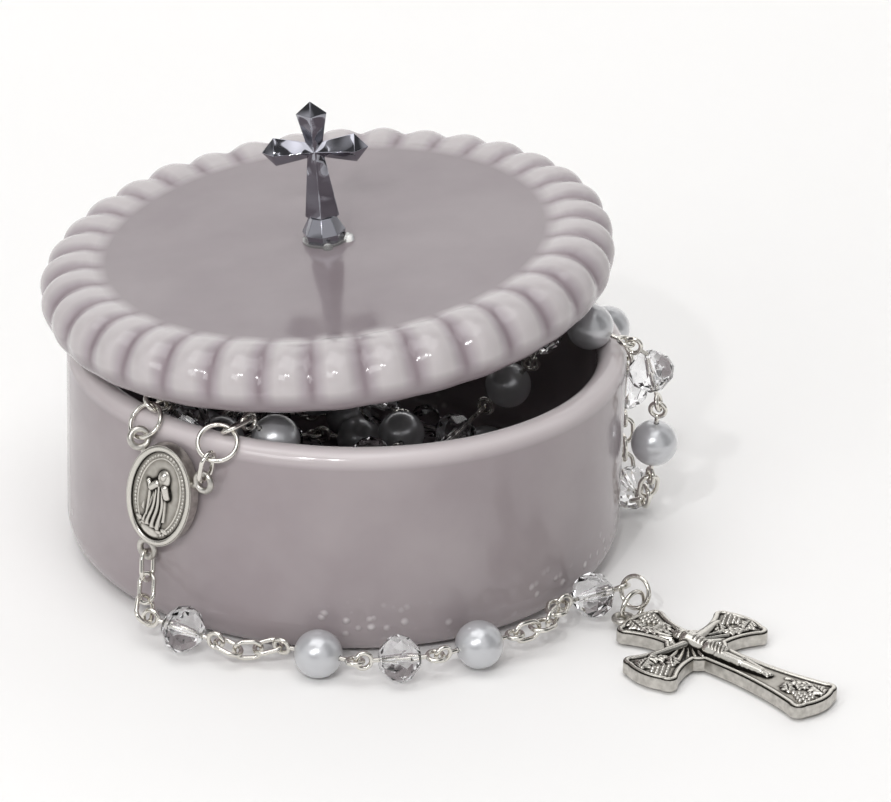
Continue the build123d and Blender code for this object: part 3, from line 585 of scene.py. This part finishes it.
def mound(points, centre, across, along, turn=0.0):
    """A rounded oval mound, 1 at its top."""
    offset = points - centre
    c, s = math.cos(turn), math.sin(turn)
    u = (offset[:, 0] * c + offset[:, 1] * s) / across
    v = (offset[:, 1] * c - offset[:, 0] * s) / along
    return np.sqrt(np.clip(1 - u**2 - v**2, 0, 1))


def limb(points, start, end, first, second):
    """Height above its axis of a round tapered limb between two points."""
    start, end = np.array(start), np.array(end)
    run = end - start
    t = np.clip(((points - start) @ run) / (run @ run), 0, 1)
    gap = np.linalg.norm(points - start - t[:, None] * run, axis=1)
    radius = first + (second - first) * t
    return np.sqrt(np.clip(radius**2 - gap**2, 0, None))


def leaf(points, centre, length, width, turn):
    """A vine leaf with a wavy edge, a midrib and side veins."""
    offset = points - centre
    c, s = math.cos(turn), math.sin(turn)
    u = (offset[:, 0] * c + offset[:, 1] * s) / length + 0.5
    v = offset[:, 1] * c - offset[:, 0] * s
    inside = (u > 0) & (u < 1)
    u = np.clip(u, 0, 1)
    edge = width / 2 * np.sin(math.pi * u) ** 0.7 * (1 + 0.22 * np.cos(6 * math.pi * u)) + 1e-6
    body = np.sqrt(np.clip(1 - (v / edge) ** 2, 0, 1))
    ribs = np.exp(-((v / 0.13) ** 2)) + 0.7 * np.exp(
        -((np.mod(u * length + np.abs(v) * 0.9, 0.85) - 0.42) ** 2) / 0.012
    )
    return np.where(inside, body * (1 - 0.45 * np.clip(ribs, 0, 1)), 0)


# %% [markdown]
# The medal shows a plain robed and veiled figure with one hand held out, which is a very
# old and common subject. Round it runs a border of small beads in place of any lettering.

# %% Medal relief
MEDAL_WIDTH = 13.0
MEDAL_HEIGHT = 19.0
MEDAL_GROUND = 0.56
MEDAL_BACK = 0.3
MEDAL_STEP = 0.075
MEDAL_RIM = 1.04
MEDAL_BEARING = math.radians(-127.0)
MEDAL_LEAN = math.radians(16.0)
MEDAL_OUT = 49.25
MEDAL_LEVEL = 25.9
outward = Vector((math.cos(MEDAL_BEARING), math.sin(MEDAL_BEARING), 0))
sideways = Vector((0, 0, 1)).cross(outward)
upright = Vector((0, 0, 1)) * math.cos(MEDAL_LEAN) + sideways * math.sin(MEDAL_LEAN)
origin = (outward * MEDAL_OUT + Vector((0, 0, MEDAL_LEVEL))) * MM
turned = Matrix((upright.cross(outward), upright, outward)).transposed()
medal_place = Matrix.Translation(origin) @ turned.to_4x4()


def medal_edge(points, inset=0.0):
    """Distance from the medal's oval edge, positive inside."""
    a = MEDAL_WIDTH / 2 - inset
    b = MEDAL_HEIGHT / 2 - inset
    scaled = np.sqrt((points[:, 0] / a) ** 2 + (points[:, 1] / b) ** 2) + 1e-9
    slope = np.sqrt((points[:, 0] / a**2) ** 2 + (points[:, 1] / b**2) ** 2) / scaled + 1e-9
    return (1 - scaled) / slope


def medal_height(points, depth):
    """Height of the medal's face above its middle, in millimetres."""
    x, y = points[:, 0], points[:, 1]
    edge = medal_edge(points)
    face = np.full(len(points), MEDAL_GROUND)
    face += 0.06 * np.sin(x * 9 + y * 4) * np.sin(y * 7 - x * 3) * (edge > 2.6)
    reach = np.hypot(x, y + 0.4)
    angle = np.arctan2(y + 0.4, x)
    rays = 0.16 * np.clip(np.cos(angle * 30), 0, 1) * (reach > 1.8) * (edge > 2.5)
    face += rays * (np.abs(x) > 0.9)
    face = np.maximum(face, MEDAL_GROUND + 0.34 * ridge(edge, 2.35, 0.2))
    sway = 0.25 * np.sin((y + 5) * 0.42)
    centred = x - sway
    width = np.interp(y, [-6.2, -5.0, -1.0, 1.2, 2.4, 3.2], [2.1, 1.95, 1.55, 1.25, 1.5, 0.7])
    robe = np.sqrt(np.clip(1 - (centred / width) ** 2, 0, 1)) * ((y > -6.0) & (y < 3.1))
    folds = np.cos(2 * math.pi * (centred / width) * 1.9 + 0.5 * y + 0.8 * np.sin(y * 0.9))
    face = np.maximum(face, MEDAL_GROUND + robe * (0.74 + 0.17 * folds * (y < 2.0)))
    cloak_width = width + np.where(centred < 0, 1.3, 0.9)
    cloak = np.clip(1 - (centred / cloak_width) ** 2, 0, 1) ** 0.4
    cloak *= (y > -5.2 + 0.5 * np.abs(centred)) & (y < 1.9)
    face = np.maximum(face, MEDAL_GROUND + cloak * (0.42 + 0.14 * np.cos(centred * 5.5 + y * 1.1)))
    face = np.maximum(face, 0.6 + 0.72 * mound(points, (0.2, 3.4), 1.35, 1.95))
    face = np.maximum(face, 0.6 + 0.98 * mound(points, (0.1, 3.95), 0.72, 0.95))
    for start, bend, hand in (
        ((-0.8, 2.1), (-1.7, 0.9), (-2.6, 1.7)),
        ((0.9, 2.1), (1.6, 0.8), (0.4, 1.2)),
    ):
        sleeve = ((start, bend, 0.72, 0.66), (bend, hand, 0.62, 0.36))
        for one, two, first, second in sleeve:
            lift = limb(points, one, two, first, second)
            face = np.maximum(face, 0.8 + 1.15 * lift)
        face = np.maximum(face, 0.8 + 0.5 * mound(points, hand, 0.36, 0.36))
    for spot in ((-2.6, -5.9), (-1.4, -6.3), (1.5, -6.4), (2.7, -5.7), (0.1, -6.7)):
        face = np.maximum(face, MEDAL_GROUND + 0.45 * mound(points, spot, 0.95, 0.55))
    globe = 0.5 * mound(points, (0.0, -7.0), 2.3, 1.25)
    face = np.maximum(face, MEDAL_GROUND + globe)
    rim = 0.45 * ridge(edge, MEDAL_RIM / 2, MEDAL_RIM / 2)
    face = np.where(edge < MEDAL_RIM, np.maximum(0.62, 0.72 + rim), face)
    return face


medal_face = cast_relief(
    "medal_face",
    medal_place,
    MEDAL_WIDTH / 2,
    MEDAL_HEIGHT / 2,
    MEDAL_STEP,
    lambda points: medal_edge(points, 0.02),
    medal_height,
    MEDAL_BACK,
)

# %% [markdown]
# The beads of the border are one small ball, set at even steps along an oval. This is
# what Geometry Nodes do well: a circle is stretched to the oval, cut into even steps, and
# one ball is placed on each point. The ball and the counts are inputs with names.

# %% Beaded border by Geometry Nodes
BALL_SUBDIVISIONS = 2
OVAL_POINTS = 160


def socket_id(tree, name):
    """The identifier of a group's input, which is what a modifier's value is set by."""
    return next(i.identifier for i in tree.interface.items_tree if i.name == name)


def new_group(name, *inputs):
    """A Geometry Nodes group with named inputs: its tree and its input sockets."""
    tree = bpy.data.node_groups.new(name, "GeometryNodeTree")
    tree.interface.new_socket("Geometry", in_out="OUTPUT", socket_type="NodeSocketGeometry")
    for label, kind in inputs:
        tree.interface.new_socket(label, in_out="INPUT", socket_type="NodeSocket" + kind)
    return tree, add(tree, "NodeGroupInput").outputs


def end_group(tree, placed, metal):
    """Makes instances real, smooths them, gives them their metal and ends the group."""
    real = add(tree, "GeometryNodeRealizeInstances", {"Geometry": placed.outputs[0]})
    smooth = add(tree, "GeometryNodeSetShadeSmooth", {"Geometry": real.outputs[0]})
    inputs = {"Geometry": smooth.outputs[0], "Material": metal}
    dressed = add(tree, "GeometryNodeSetMaterial", inputs)
    output = add(tree, "NodeGroupOutput")
    tree.links.new(dressed.outputs[0], output.inputs["Geometry"])


def ball_mesh(tree, radius):
    """A small round ball of few faces, as there are many of them."""
    inputs = {"Radius": radius, "Subdivisions": BALL_SUBDIVISIONS}
    return add(tree, "GeometryNodeMeshIcoSphere", inputs).outputs["Mesh"]


def beaded_oval():
    """Geometry Nodes group: balls at even steps along an oval."""
    tree, given = new_group(
        "beaded_oval",
        ("Half width", "Float"),
        ("Half height", "Float"),
        ("Ball radius", "Float"),
        ("Balls", "Int"),
        ("Metal", "Material"),
    )
    inputs = {"Resolution": OVAL_POINTS, "Radius": 1.0}
    circle = add(tree, "GeometryNodeCurvePrimitiveCircle", inputs)
    inputs = {"X": given["Half width"], "Y": given["Half height"], "Z": 1.0}
    stretch = add(tree, "ShaderNodeCombineXYZ", inputs)
    inputs = {"Geometry": circle.outputs["Curve"], "Scale": stretch.outputs["Vector"]}
    oval = add(tree, "GeometryNodeTransform", inputs)
    inputs = {"Curve": oval.outputs["Geometry"], "Count": given["Balls"]}
    steps = add(tree, "GeometryNodeResampleCurve", inputs)
    ball = ball_mesh(tree, given["Ball radius"])
    inputs = {"Points": steps.outputs["Curve"], "Instance": ball}
    placed = add(tree, "GeometryNodeInstanceOnPoints", inputs)
    end_group(tree, placed, given["Metal"])
    return tree


def grown(name, tree, place, points=(), **values):
    """Runs a Geometry Nodes group and keeps its result as a plain mesh, put in place."""
    start = bpy.data.meshes.new(name + "_holder")
    start.from_pydata(list(points), [], [])
    holder = new_object(name + "_holder", start)
    modifier = holder.modifiers.new("grow", "NODES")
    modifier.node_group = tree
    for label, value in values.items():
        modifier[socket_id(tree, label.replace("_", " "))] = value
    bpy.context.view_layer.update()
    evaluated = holder.evaluated_get(bpy.context.evaluated_depsgraph_get())
    mesh = bpy.data.meshes.new_from_object(evaluated)
    mesh.transform(place)
    mesh.name = name
    bpy.data.objects.remove(holder)
    print(name, len(mesh.polygons), "faces")
    return new_object(name, mesh)


BORDER_INSET = 1.78
BORDER_LEVEL = 0.62
beading = grown(
    "medal_beading",
    beaded_oval(),
    medal_place @ Matrix.Translation((0, 0, BORDER_LEVEL * MM)) @ Matrix.Scale(MM, 4),
    Half_width=MEDAL_WIDTH / 2 - BORDER_INSET,
    Half_height=MEDAL_HEIGHT / 2 - BORDER_INSET,
    Ball_radius=0.34,
    Balls=58,
    Metal=old_silver,
)

# %% [markdown]
# The crucifix has a raised edge, a burst of rays behind the head, a bunch of grapes with
# vine leaves on each flared end, and the figure, which stands out almost in the round.

# %% Crucifix relief
CROSS_AT = Vector((58.3, -44.3, 1.9)) * MM
CROSS_HEADING = math.radians(-43.0)
CROSS_TOP, CROSS_FOOT, CROSS_SIDE = 14.2, 26.8, 14.0
ENDS = (CROSS_FOOT, CROSS_SIDE, CROSS_TOP, CROSS_SIDE)
LIMB_WAIST, LIMB_FLARE = 6.2, 10.0
CROSS_DISC = 5.3
CROSS_FRONT = 0.7
CROSS_BACK = 0.55
CROSS_STEP = 0.11
CROSS_BORDER = 0.96
BURST_FROM = -1.6
RIB_STEP, CLOTH_STEP = 0.75, 0.7
cross_place = Matrix.Translation(CROSS_AT) @ Matrix.Rotation(CROSS_HEADING, 4, "Z")


def limb_outline(reach):
    """Outline of one flared limb along +X."""
    half, flare = LIMB_WAIST / 2, LIMB_FLARE / 2
    shoulder = reach - 3.4
    pieces = [
        np.array([(0, half)]),
        arc((half, half), (shoulder * 0.66, half + 0.35), (shoulder, flare)),
        arc((shoulder, flare), (reach - 1.5, flare + 0.1), (reach - 0.8, flare - 1.4)),
        arc((reach - 0.8, flare - 1.4), (reach, 0), (reach - 0.8, 1.4 - flare)),
        arc((reach - 0.8, 1.4 - flare), (reach - 1.5, -flare - 0.1), (shoulder, -flare)),
        arc((shoulder, -flare), (shoulder * 0.66, -half - 0.35), (half, -half)),
        np.array([(half, -half), (0, -half)]),
    ]
    return np.concatenate(pieces)


def quarter_turned(points, quarters):
    """Points turned by quarters of a turn, anticlockwise."""
    for _ in range(quarters):
        points = np.column_stack([-points[:, 1], points[:, 0]])
    return points


LIMBS = [
    quarter_turned(limb_outline(reach), quarters) for quarters, reach in enumerate(ENDS)
]


def cross_edge(points):
    """Distance from the crucifix's edge, positive inside."""
    nearest = CROSS_DISC - np.hypot(points[:, 0], points[:, 1])
    for outline in LIMBS:
        nearest = np.maximum(nearest, inside_distance(points, outline))
    return nearest


def cross_height(points, depth):
    """Height of the crucifix's face above its middle, in millimetres."""
    x, y = points[:, 0], points[:, 1]
    ground = CROSS_FRONT + 0.06
    face = np.full(len(points), ground)
    reach = np.hypot(x - BURST_FROM, y)
    angle = np.arctan2(y, x - BURST_FROM)
    burst = np.clip(np.cos(angle * 28), 0, 1) ** 0.6
    face += np.where((reach > 2.6) & (reach < 7.2) & (depth > 0.9), 0.42 * burst, 0)
    face = np.maximum(face, ground + 0.3 * ridge(reach, 2.5, 0.3))
    # leaves and curled tendrils on the four ends
    for quarters, end in enumerate(ENDS):
        local = quarter_turned(points, (4 - quarters) % 4)
        tip = end - 2.1
        side = 1 if quarters % 2 else -1
        leaves = (
            ((tip - 0.5, -side * 1.7), 3.9, 3.2, 0.35),
            ((tip - 3.6, -side * 1.35), 3.9, 2.5, -0.6),
            ((tip - 4.7, side * 1.0), 3.4, 2.2, 0.75),
        )
        for centre, length, width, turn in leaves:
            shape = leaf(local, centre, length, width, turn * side)
            face = np.maximum(face, ground + 0.55 * shape)
        tendrils = (((tip - 2.0, 0.1), 1.0, 0.0), ((tip - 6.0, -side * 0.4), 1.3, 1.0))
        for spot, size, bend in tendrils:
            u, v = (local - spot).T
            open_ring = np.sin(np.arctan2(v, u) + bend) > -0.3
            face = np.maximum(face, ground + 0.3 * ridge(np.hypot(u, v), size, 0.2) * open_ring)
    border = 0.34 * ridge(depth, CROSS_BORDER / 2, CROSS_BORDER / 2)
    face = np.where(depth < CROSS_BORDER, ground + border, face)
    # the figure
    level = CROSS_FRONT + 0.25
    parts = [
        ((-1.4, 0.0), (3.4, 0.0), 1.85, 1.3, 0.0),
        ((3.2, 0.0), (5.6, 0.1), 1.75, 1.6, 0.05),
        ((5.2, 0.65), (9.6, 0.5), 1.05, 0.9, 0.3),
        ((5.2, -0.55), (9.6, -0.45), 1.05, 0.9, 0.3),
        ((9.6, 0.45), (13.8, 0.2), 0.82, 0.56, 0.2),
        ((9.6, -0.4), (13.8, -0.2), 0.82, 0.56, 0.2),
        ((13.8, 0.12), (15.4, 0.3), 0.46, 0.36, 0.1),
        ((13.8, -0.1), (15.2, -0.3), 0.46, 0.36, 0.1),
    ]
    for hand in (1, -1):
        parts.append(((-0.9, hand * 0.9), (-1.5, hand * 4.1), 1.0, 0.78, 0.0))
        parts.append(((-1.5, hand * 4.1), (-2.3, hand * 7.6), 0.78, 0.58, 0.0))
        parts.append(((-2.3, hand * 7.6), (-2.4, hand * 8.6), 0.6, 0.5, 0.0))
    for start, end, first, second, rise in parts:
        lift = limb(points, start, end, first, second)
        face = np.where(lift > 0, np.maximum(face, level + rise + lift), face)
    ribs = 0.09 * np.cos((x - 0.2) * 2 * math.pi / RIB_STEP)
    face += np.where((np.abs(y) < 0.95) & (x > -0.4) & (x < 2.6), ribs, 0)
    cloth = 0.12 * np.cos((x + 0.5 * y) * 2 * math.pi / CLOTH_STEP)
    face += np.where((np.abs(y) < 1.2) & (x > 3.3) & (x < 6.2), cloth, 0)
    head = mound(points, (-3.2, 0.3), 1.75, 1.5)
    face = np.where(head > 0, np.maximum(face, CROSS_FRONT + 0.45 + 1.2 * head), face)
    hair = 0.07 * np.cos(np.arctan2(y - 0.3, x + 3.2) * 12) * (head > 0.1) * (head < 0.75)
    face += hair
    plate = (np.abs(x + 8.0) < 0.95) & (np.abs(y) < 2.0)
    face = np.where(plate, np.maximum(face, ground + 0.42), face)
    return face


crucifix_face = cast_relief(
    "crucifix_face",
    cross_place,
    (CROSS_TOP + CROSS_FOOT) / 2,
    CROSS_SIDE,
    CROSS_STEP,
    lambda points: cross_edge(points) - 0.04,
    cross_height,
    CROSS_BACK,
    centre=((CROSS_FOOT - CROSS_TOP) / 2, 0),
)

# %% [markdown]
# The grapes are balls again, so a second group puts one on each point of a small mesh,
# with a little unevenness from a fixed seed. The points are the bunches on four ends.

# %% Grapes by Geometry Nodes
GRAPE_RADIUS = 0.52
GRAPE_ROW, GRAPE_PITCH = 0.8, 0.92
BUNCH_INSET = 1.75
BUNCH = (3, 4, 3, 2, 1)


def balls_on_points():
    """Geometry Nodes group: one ball on every point of a mesh, no two quite the same size."""
    tree, given = new_group(
        "balls_on_points",
        ("Geometry", "Geometry"),
        ("Ball radius", "Float"),
        ("Unevenness", "Float"),
        ("Seed", "Int"),
        ("Metal", "Material"),
    )
    ball = ball_mesh(tree, given["Ball radius"])
    least = maths(tree, "SUBTRACT", 1.0, given["Unevenness"])
    inputs = {"Min": least, "Max": 1.0, "Seed": given["Seed"]}
    size = add(tree, "FunctionNodeRandomValue", inputs).outputs[1]
    inputs = {"Points": given["Geometry"], "Instance": ball, "Scale": size}
    placed = add(tree, "GeometryNodeInstanceOnPoints", inputs)
    end_group(tree, placed, given["Metal"])
    return tree


spots = []
for quarters, end in enumerate(ENDS):
    side = 1 if quarters % 2 else -1
    for row, count in enumerate(BUNCH):
        for k in range(count):
            x = end - BUNCH_INSET - GRAPE_ROW * row
            y = side * (BUNCH_INSET + GRAPE_PITCH * (k - (count - 1) / 2))
            for _ in range(quarters):
                x, y = -y, x
            spots.append((x, y, CROSS_FRONT + 0.12))
grapes = grown(
    "crucifix_grapes",
    balls_on_points(),
    cross_place @ Matrix.Scale(MM, 4),
    spots,
    Ball_radius=GRAPE_RADIUS,
    Unevenness=0.12,
    Seed=7,
    Metal=old_silver,
)

# %% [markdown]
# The castings are dipped to blacken them and then rubbed. The black stays in every
# hollow beside something higher, and the open ground in between keeps a grey film, so
# the tone follows the stored hollow of each point and not its height.

# %% Blackened hollows


def rubbed_silver(name):
    """Silver plate: black in its hollows, grey on the ground, bright where it stands out."""
    material, tree, shader = new_material(name)
    hollow = add(tree, "ShaderNodeAttribute", attribute_name="hollow").outputs["Fac"]
    place = add(tree, "ShaderNodeTexCoord").outputs["Object"]
    grain = noise(tree, place, GRAIN_SCALE, 3.0)
    film = maths(tree, "MULTIPLY", maths(tree, "SUBTRACT", grain, 0.5), 0.03)
    worn = within(tree, maths(tree, "ADD", hollow, film), 0.085, -0.05)
    stops = ((0.0, linear("#262421")), (0.5, linear("#8e8a83")), (0.85, linear("#d3d0c9")))
    tone = ramp(tree, worn, *stops)
    rough = maths(tree, "SUBTRACT", 0.5, maths(tree, "MULTIPLY", worn, 0.26))
    feed(tree, shader, Base_Color=tone, Metallic=1.0, Roughness=rough)
    return material


for piece in (medal_face, crucifix_face):
    piece.data.materials.append(rubbed_silver("oxidised_silver_" + piece.name))
for piece, body in (
    (medal_face, "rosary"),
    (beading, "rosary"),
    (crucifix_face, "cross"),
    (grapes, "cross"),
):
    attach(piece, body)

# %% [markdown]
# The loops of wire between the medal and its neighbours are bent again here, so that each
# one passes through the next. A loop is a round wire made into two half circles with two
# straight sides. It starts at one place, points at the next one, and is rolled about that
# line by a listed angle, at which it clears the wires that it hooks.

# %% Hooked wire loops
LOOP_WIRE = 0.8
LOOP_WIDTH = 4.0
WIRE_SIDES = 14
HALF_CIRCLE_STEPS = 26
OUT_OF_MEDAL = medal_place.to_3x3().col[2].normalized()
UP = Vector((0, 0, 1))
# start, aim, roll, length and width of each loop
RIGHT_LOOPS = (
    ("right_link", (-22.6, -44.58, 31.12), (-22.01, -45.42, 35.26), 1.85, 6.2, LOOP_WIDTH),
    ("right_ring", (-22.01, -45.42, 35.26), (-19.64, -42.07, 38.57), 3.52, 7.18, 7.18),
    ("right_rim_link", (-19.64, -42.07, 38.57), (-15.51, -38.92, 39.39), 2.4, 6.05, LOOP_WIDTH),
)
LOW_LENGTH = 5.77
LOW_LOOPS = (
    ((-32.03, -37.45, 14.81), (-32.06, -38.73, 11.2), 1.48, LOW_LENGTH, LOOP_WIDTH),
    ((-32.06, -38.73, 11.2), (-32.08, -40.98, 8.1), -0.02, LOW_LENGTH, LOOP_WIDTH),
    ((-32.08, -40.98, 8.1), (-32.38, -44.31, 6.23), 1.49, LOW_LENGTH, LOOP_WIDTH),
)


def bend_loop(made, start, aim, roll, length, width, facing):
    """Adds one closed wire loop to a bmesh."""
    along = (Vector(aim) - Vector(start)).normalized()
    square = (facing - along * facing.dot(along)).normalized()
    normal = square * math.cos(roll) + along.cross(square) * math.sin(roll)
    across = normal.cross(along)
    centre = Vector(start) + along * (length - LOOP_WIRE) / 2
    straight = (length - width) / 2
    radius = (width - LOOP_WIRE) / 2
    steps = HALF_CIRCLE_STEPS + (1 if straight > 0 else 0)
    rings = []
    for end in (1, -1):
        for k in range(steps):
            turn = math.pi * (k / HALF_CIRCLE_STEPS - 0.5 * end)
            out = along * math.cos(turn) + across * math.sin(turn)
            line = centre + along * straight * end + out * radius
            ring = []
            for side in range(WIRE_SIDES):
                angle = 2 * math.pi * side / WIRE_SIDES
                away = out * math.cos(angle) + normal * math.sin(angle)
                ring.append(made.verts.new((line + away * LOOP_WIRE / 2) * MM))
            rings.append(ring)
    for one, two in zip(rings, rings[1:] + rings[:1]):
        for a in range(WIRE_SIDES):
            b = (a + 1) % WIRE_SIDES
            made.faces.new((one[a], one[b], two[b], two[a]))


def hooked(name, rows, facing):
    """One piece of hooked loops, in place of the CAD node of the same name."""
    made = bmesh.new()
    for row in rows:
        bend_loop(made, *row, facing)
    bmesh.ops.recalc_face_normals(made, faces=made.faces)
    mesh = bpy.data.meshes.new("hooked_" + name)
    made.to_mesh(mesh)
    made.free()
    mesh.shade_smooth()
    mesh.materials.append(wire_plate)
    piece = new_object("hooked_" + name, mesh)
    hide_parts(name)
    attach(piece, "rosary")
    print(piece.name, "faces:", len(mesh.polygons))


for name, *row in RIGHT_LOOPS:
    hooked(name, (row,), OUT_OF_MEDAL + UP)
hooked("medal_links", LOW_LOOPS, OUT_OF_MEDAL)

# %% [markdown]
# The box stands on a plain white sweep, under a wide soft light from above and in front,
# with two small lamps side by side that leave the paired sparks on each glossy lobe.

# %% Floor and lights
white_paper, tree, shader = new_material("white_paper")
feed(tree, shader, Base_Color=linear("#f6f5f4"), Roughness=0.9)
SWEEP_FRONT = -1.2
SWEEP_BACK = 0.55
SWEEP_BEND = 0.35
SWEEP_HEIGHT = 1.6
SWEEP_STEPS = 24
WIDE = 2.4
profile = [(SWEEP_FRONT, 0.0)]
for i in range(SWEEP_STEPS + 1):
    turn = math.pi / 2 * i / SWEEP_STEPS
    profile.append((SWEEP_BACK + SWEEP_BEND * math.sin(turn), SWEEP_BEND * (1 - math.cos(turn))))
profile.append((SWEEP_BACK + SWEEP_BEND, SWEEP_HEIGHT))
points = [(x, y, z) for y, z in profile for x in (-WIDE, WIDE)]
faces = [(2 * i, 2 * i + 1, 2 * i + 3, 2 * i + 2) for i in range(len(profile) - 1)]
mesh = bpy.data.meshes.new("paper_sweep")
mesh.from_pydata(points, [], faces)
mesh.shade_smooth()
mesh.materials.append(white_paper)
new_object("paper_sweep", mesh)


def lamp(name, place, aim, width, depth, watts):
    """A rectangular soft light."""
    light = bpy.data.lights.new(name, "AREA")
    light.shape = "RECTANGLE"
    light.size = width
    light.size_y = depth
    light.energy = watts
    made = new_object(name, light)
    made.location = place
    made.rotation_euler = (Vector(aim) - Vector(place)).to_track_quat("-Z", "Y").to_euler()


BOX_MIDDLE = (0, 0, 0.03)
lamp("overhead_softbox", (-0.1, -0.15, 0.9), BOX_MIDDLE, 0.9, 0.7, 3.4)
lamp("front_softbox", (-0.5, -0.9, 0.55), BOX_MIDDLE, 0.5, 0.35, 2.2)
lamp("lamp_left", (-0.22, -0.75, 0.62), BOX_MIDDLE, 0.03, 0.03, 1.3)
lamp("lamp_right", (-0.06, -0.78, 0.62), BOX_MIDDLE, 0.03, 0.03, 1.1)
lamp("back_wash", (0.0, 0.6, 0.7), (0, 1.0, 0.2), 1.6, 0.5, 3.0)

# four pale flags and four dark gaps stand round the table, for the metal to mirror
WHITE_FLAGS = 4.0
world = bpy.data.worlds.new("studio")
bpy.context.scene.world = world
world.use_nodes = True
tree = world.node_tree
direction = add(tree, "ShaderNodeTexCoord").outputs["Generated"]
parts = add(tree, "ShaderNodeSeparateXYZ", {"Vector": direction})
angle = maths(tree, "ARCTAN2", parts.outputs["Y"], parts.outputs["X"])
flags = maths(tree, "SINE", maths(tree, "MULTIPLY", angle, WHITE_FLAGS))
levels = {"From Min": -0.5, "From Max": 0.5, "To Min": 0.1, "To Max": 0.75}
glow = add(tree, "ShaderNodeMapRange", {"Value": flags, **levels})
tree.links.new(glow.outputs["Result"], tree.nodes["Background"].inputs["Strength"])
tree.nodes["Background"].inputs["Color"].default_value = linear("#ffffff")
bpy.context.scene.view_settings.view_transform = "Standard"
print("lamps:", len(bpy.data.lights))

# %% [markdown]
# The camera stands 0.8 m off with a long lens, looking down a little, and rolled by about
# a degree. Its axis is aimed past the box so that the box sits left of the middle.

# %% Camera
LOOK_AT = Vector((0, 0, 0.020))
DISTANCE = 0.8
DOWN = math.radians(24.8)
ROLL = math.radians(1.17)
LENS = 188.8
FOCAL_PIXELS = 4672
OFF_AXIS = (100 / FOCAL_PIXELS, 28.5 / FOCAL_PIXELS)
forward = Vector((0, math.cos(DOWN), -math.sin(DOWN)))
level = Vector((1, 0, 0))
upwards = Vector((0, math.sin(DOWN), math.cos(DOWN)))
right = level * math.cos(ROLL) + upwards * math.sin(ROLL)
top = upwards * math.cos(ROLL) - level * math.sin(ROLL)
axis = (forward + right * OFF_AXIS[0] + top * OFF_AXIS[1]).normalized()
across = (right - axis * right.dot(axis)).normalized()
camera_data = bpy.data.cameras.new("camera")
camera_data.lens = LENS
camera_data.sensor_width = 36.0
camera_data.clip_start = 0.01
camera = new_object("camera", camera_data)
turn = Matrix((across, (-axis).cross(across), -axis)).transposed()
camera.matrix_world = Matrix.Translation(LOOK_AT - forward * DISTANCE) @ turn.to_4x4()
bpy.context.scene.camera = camera
print("camera at", tuple(round(v, 3) for v in camera.matrix_world.translation))
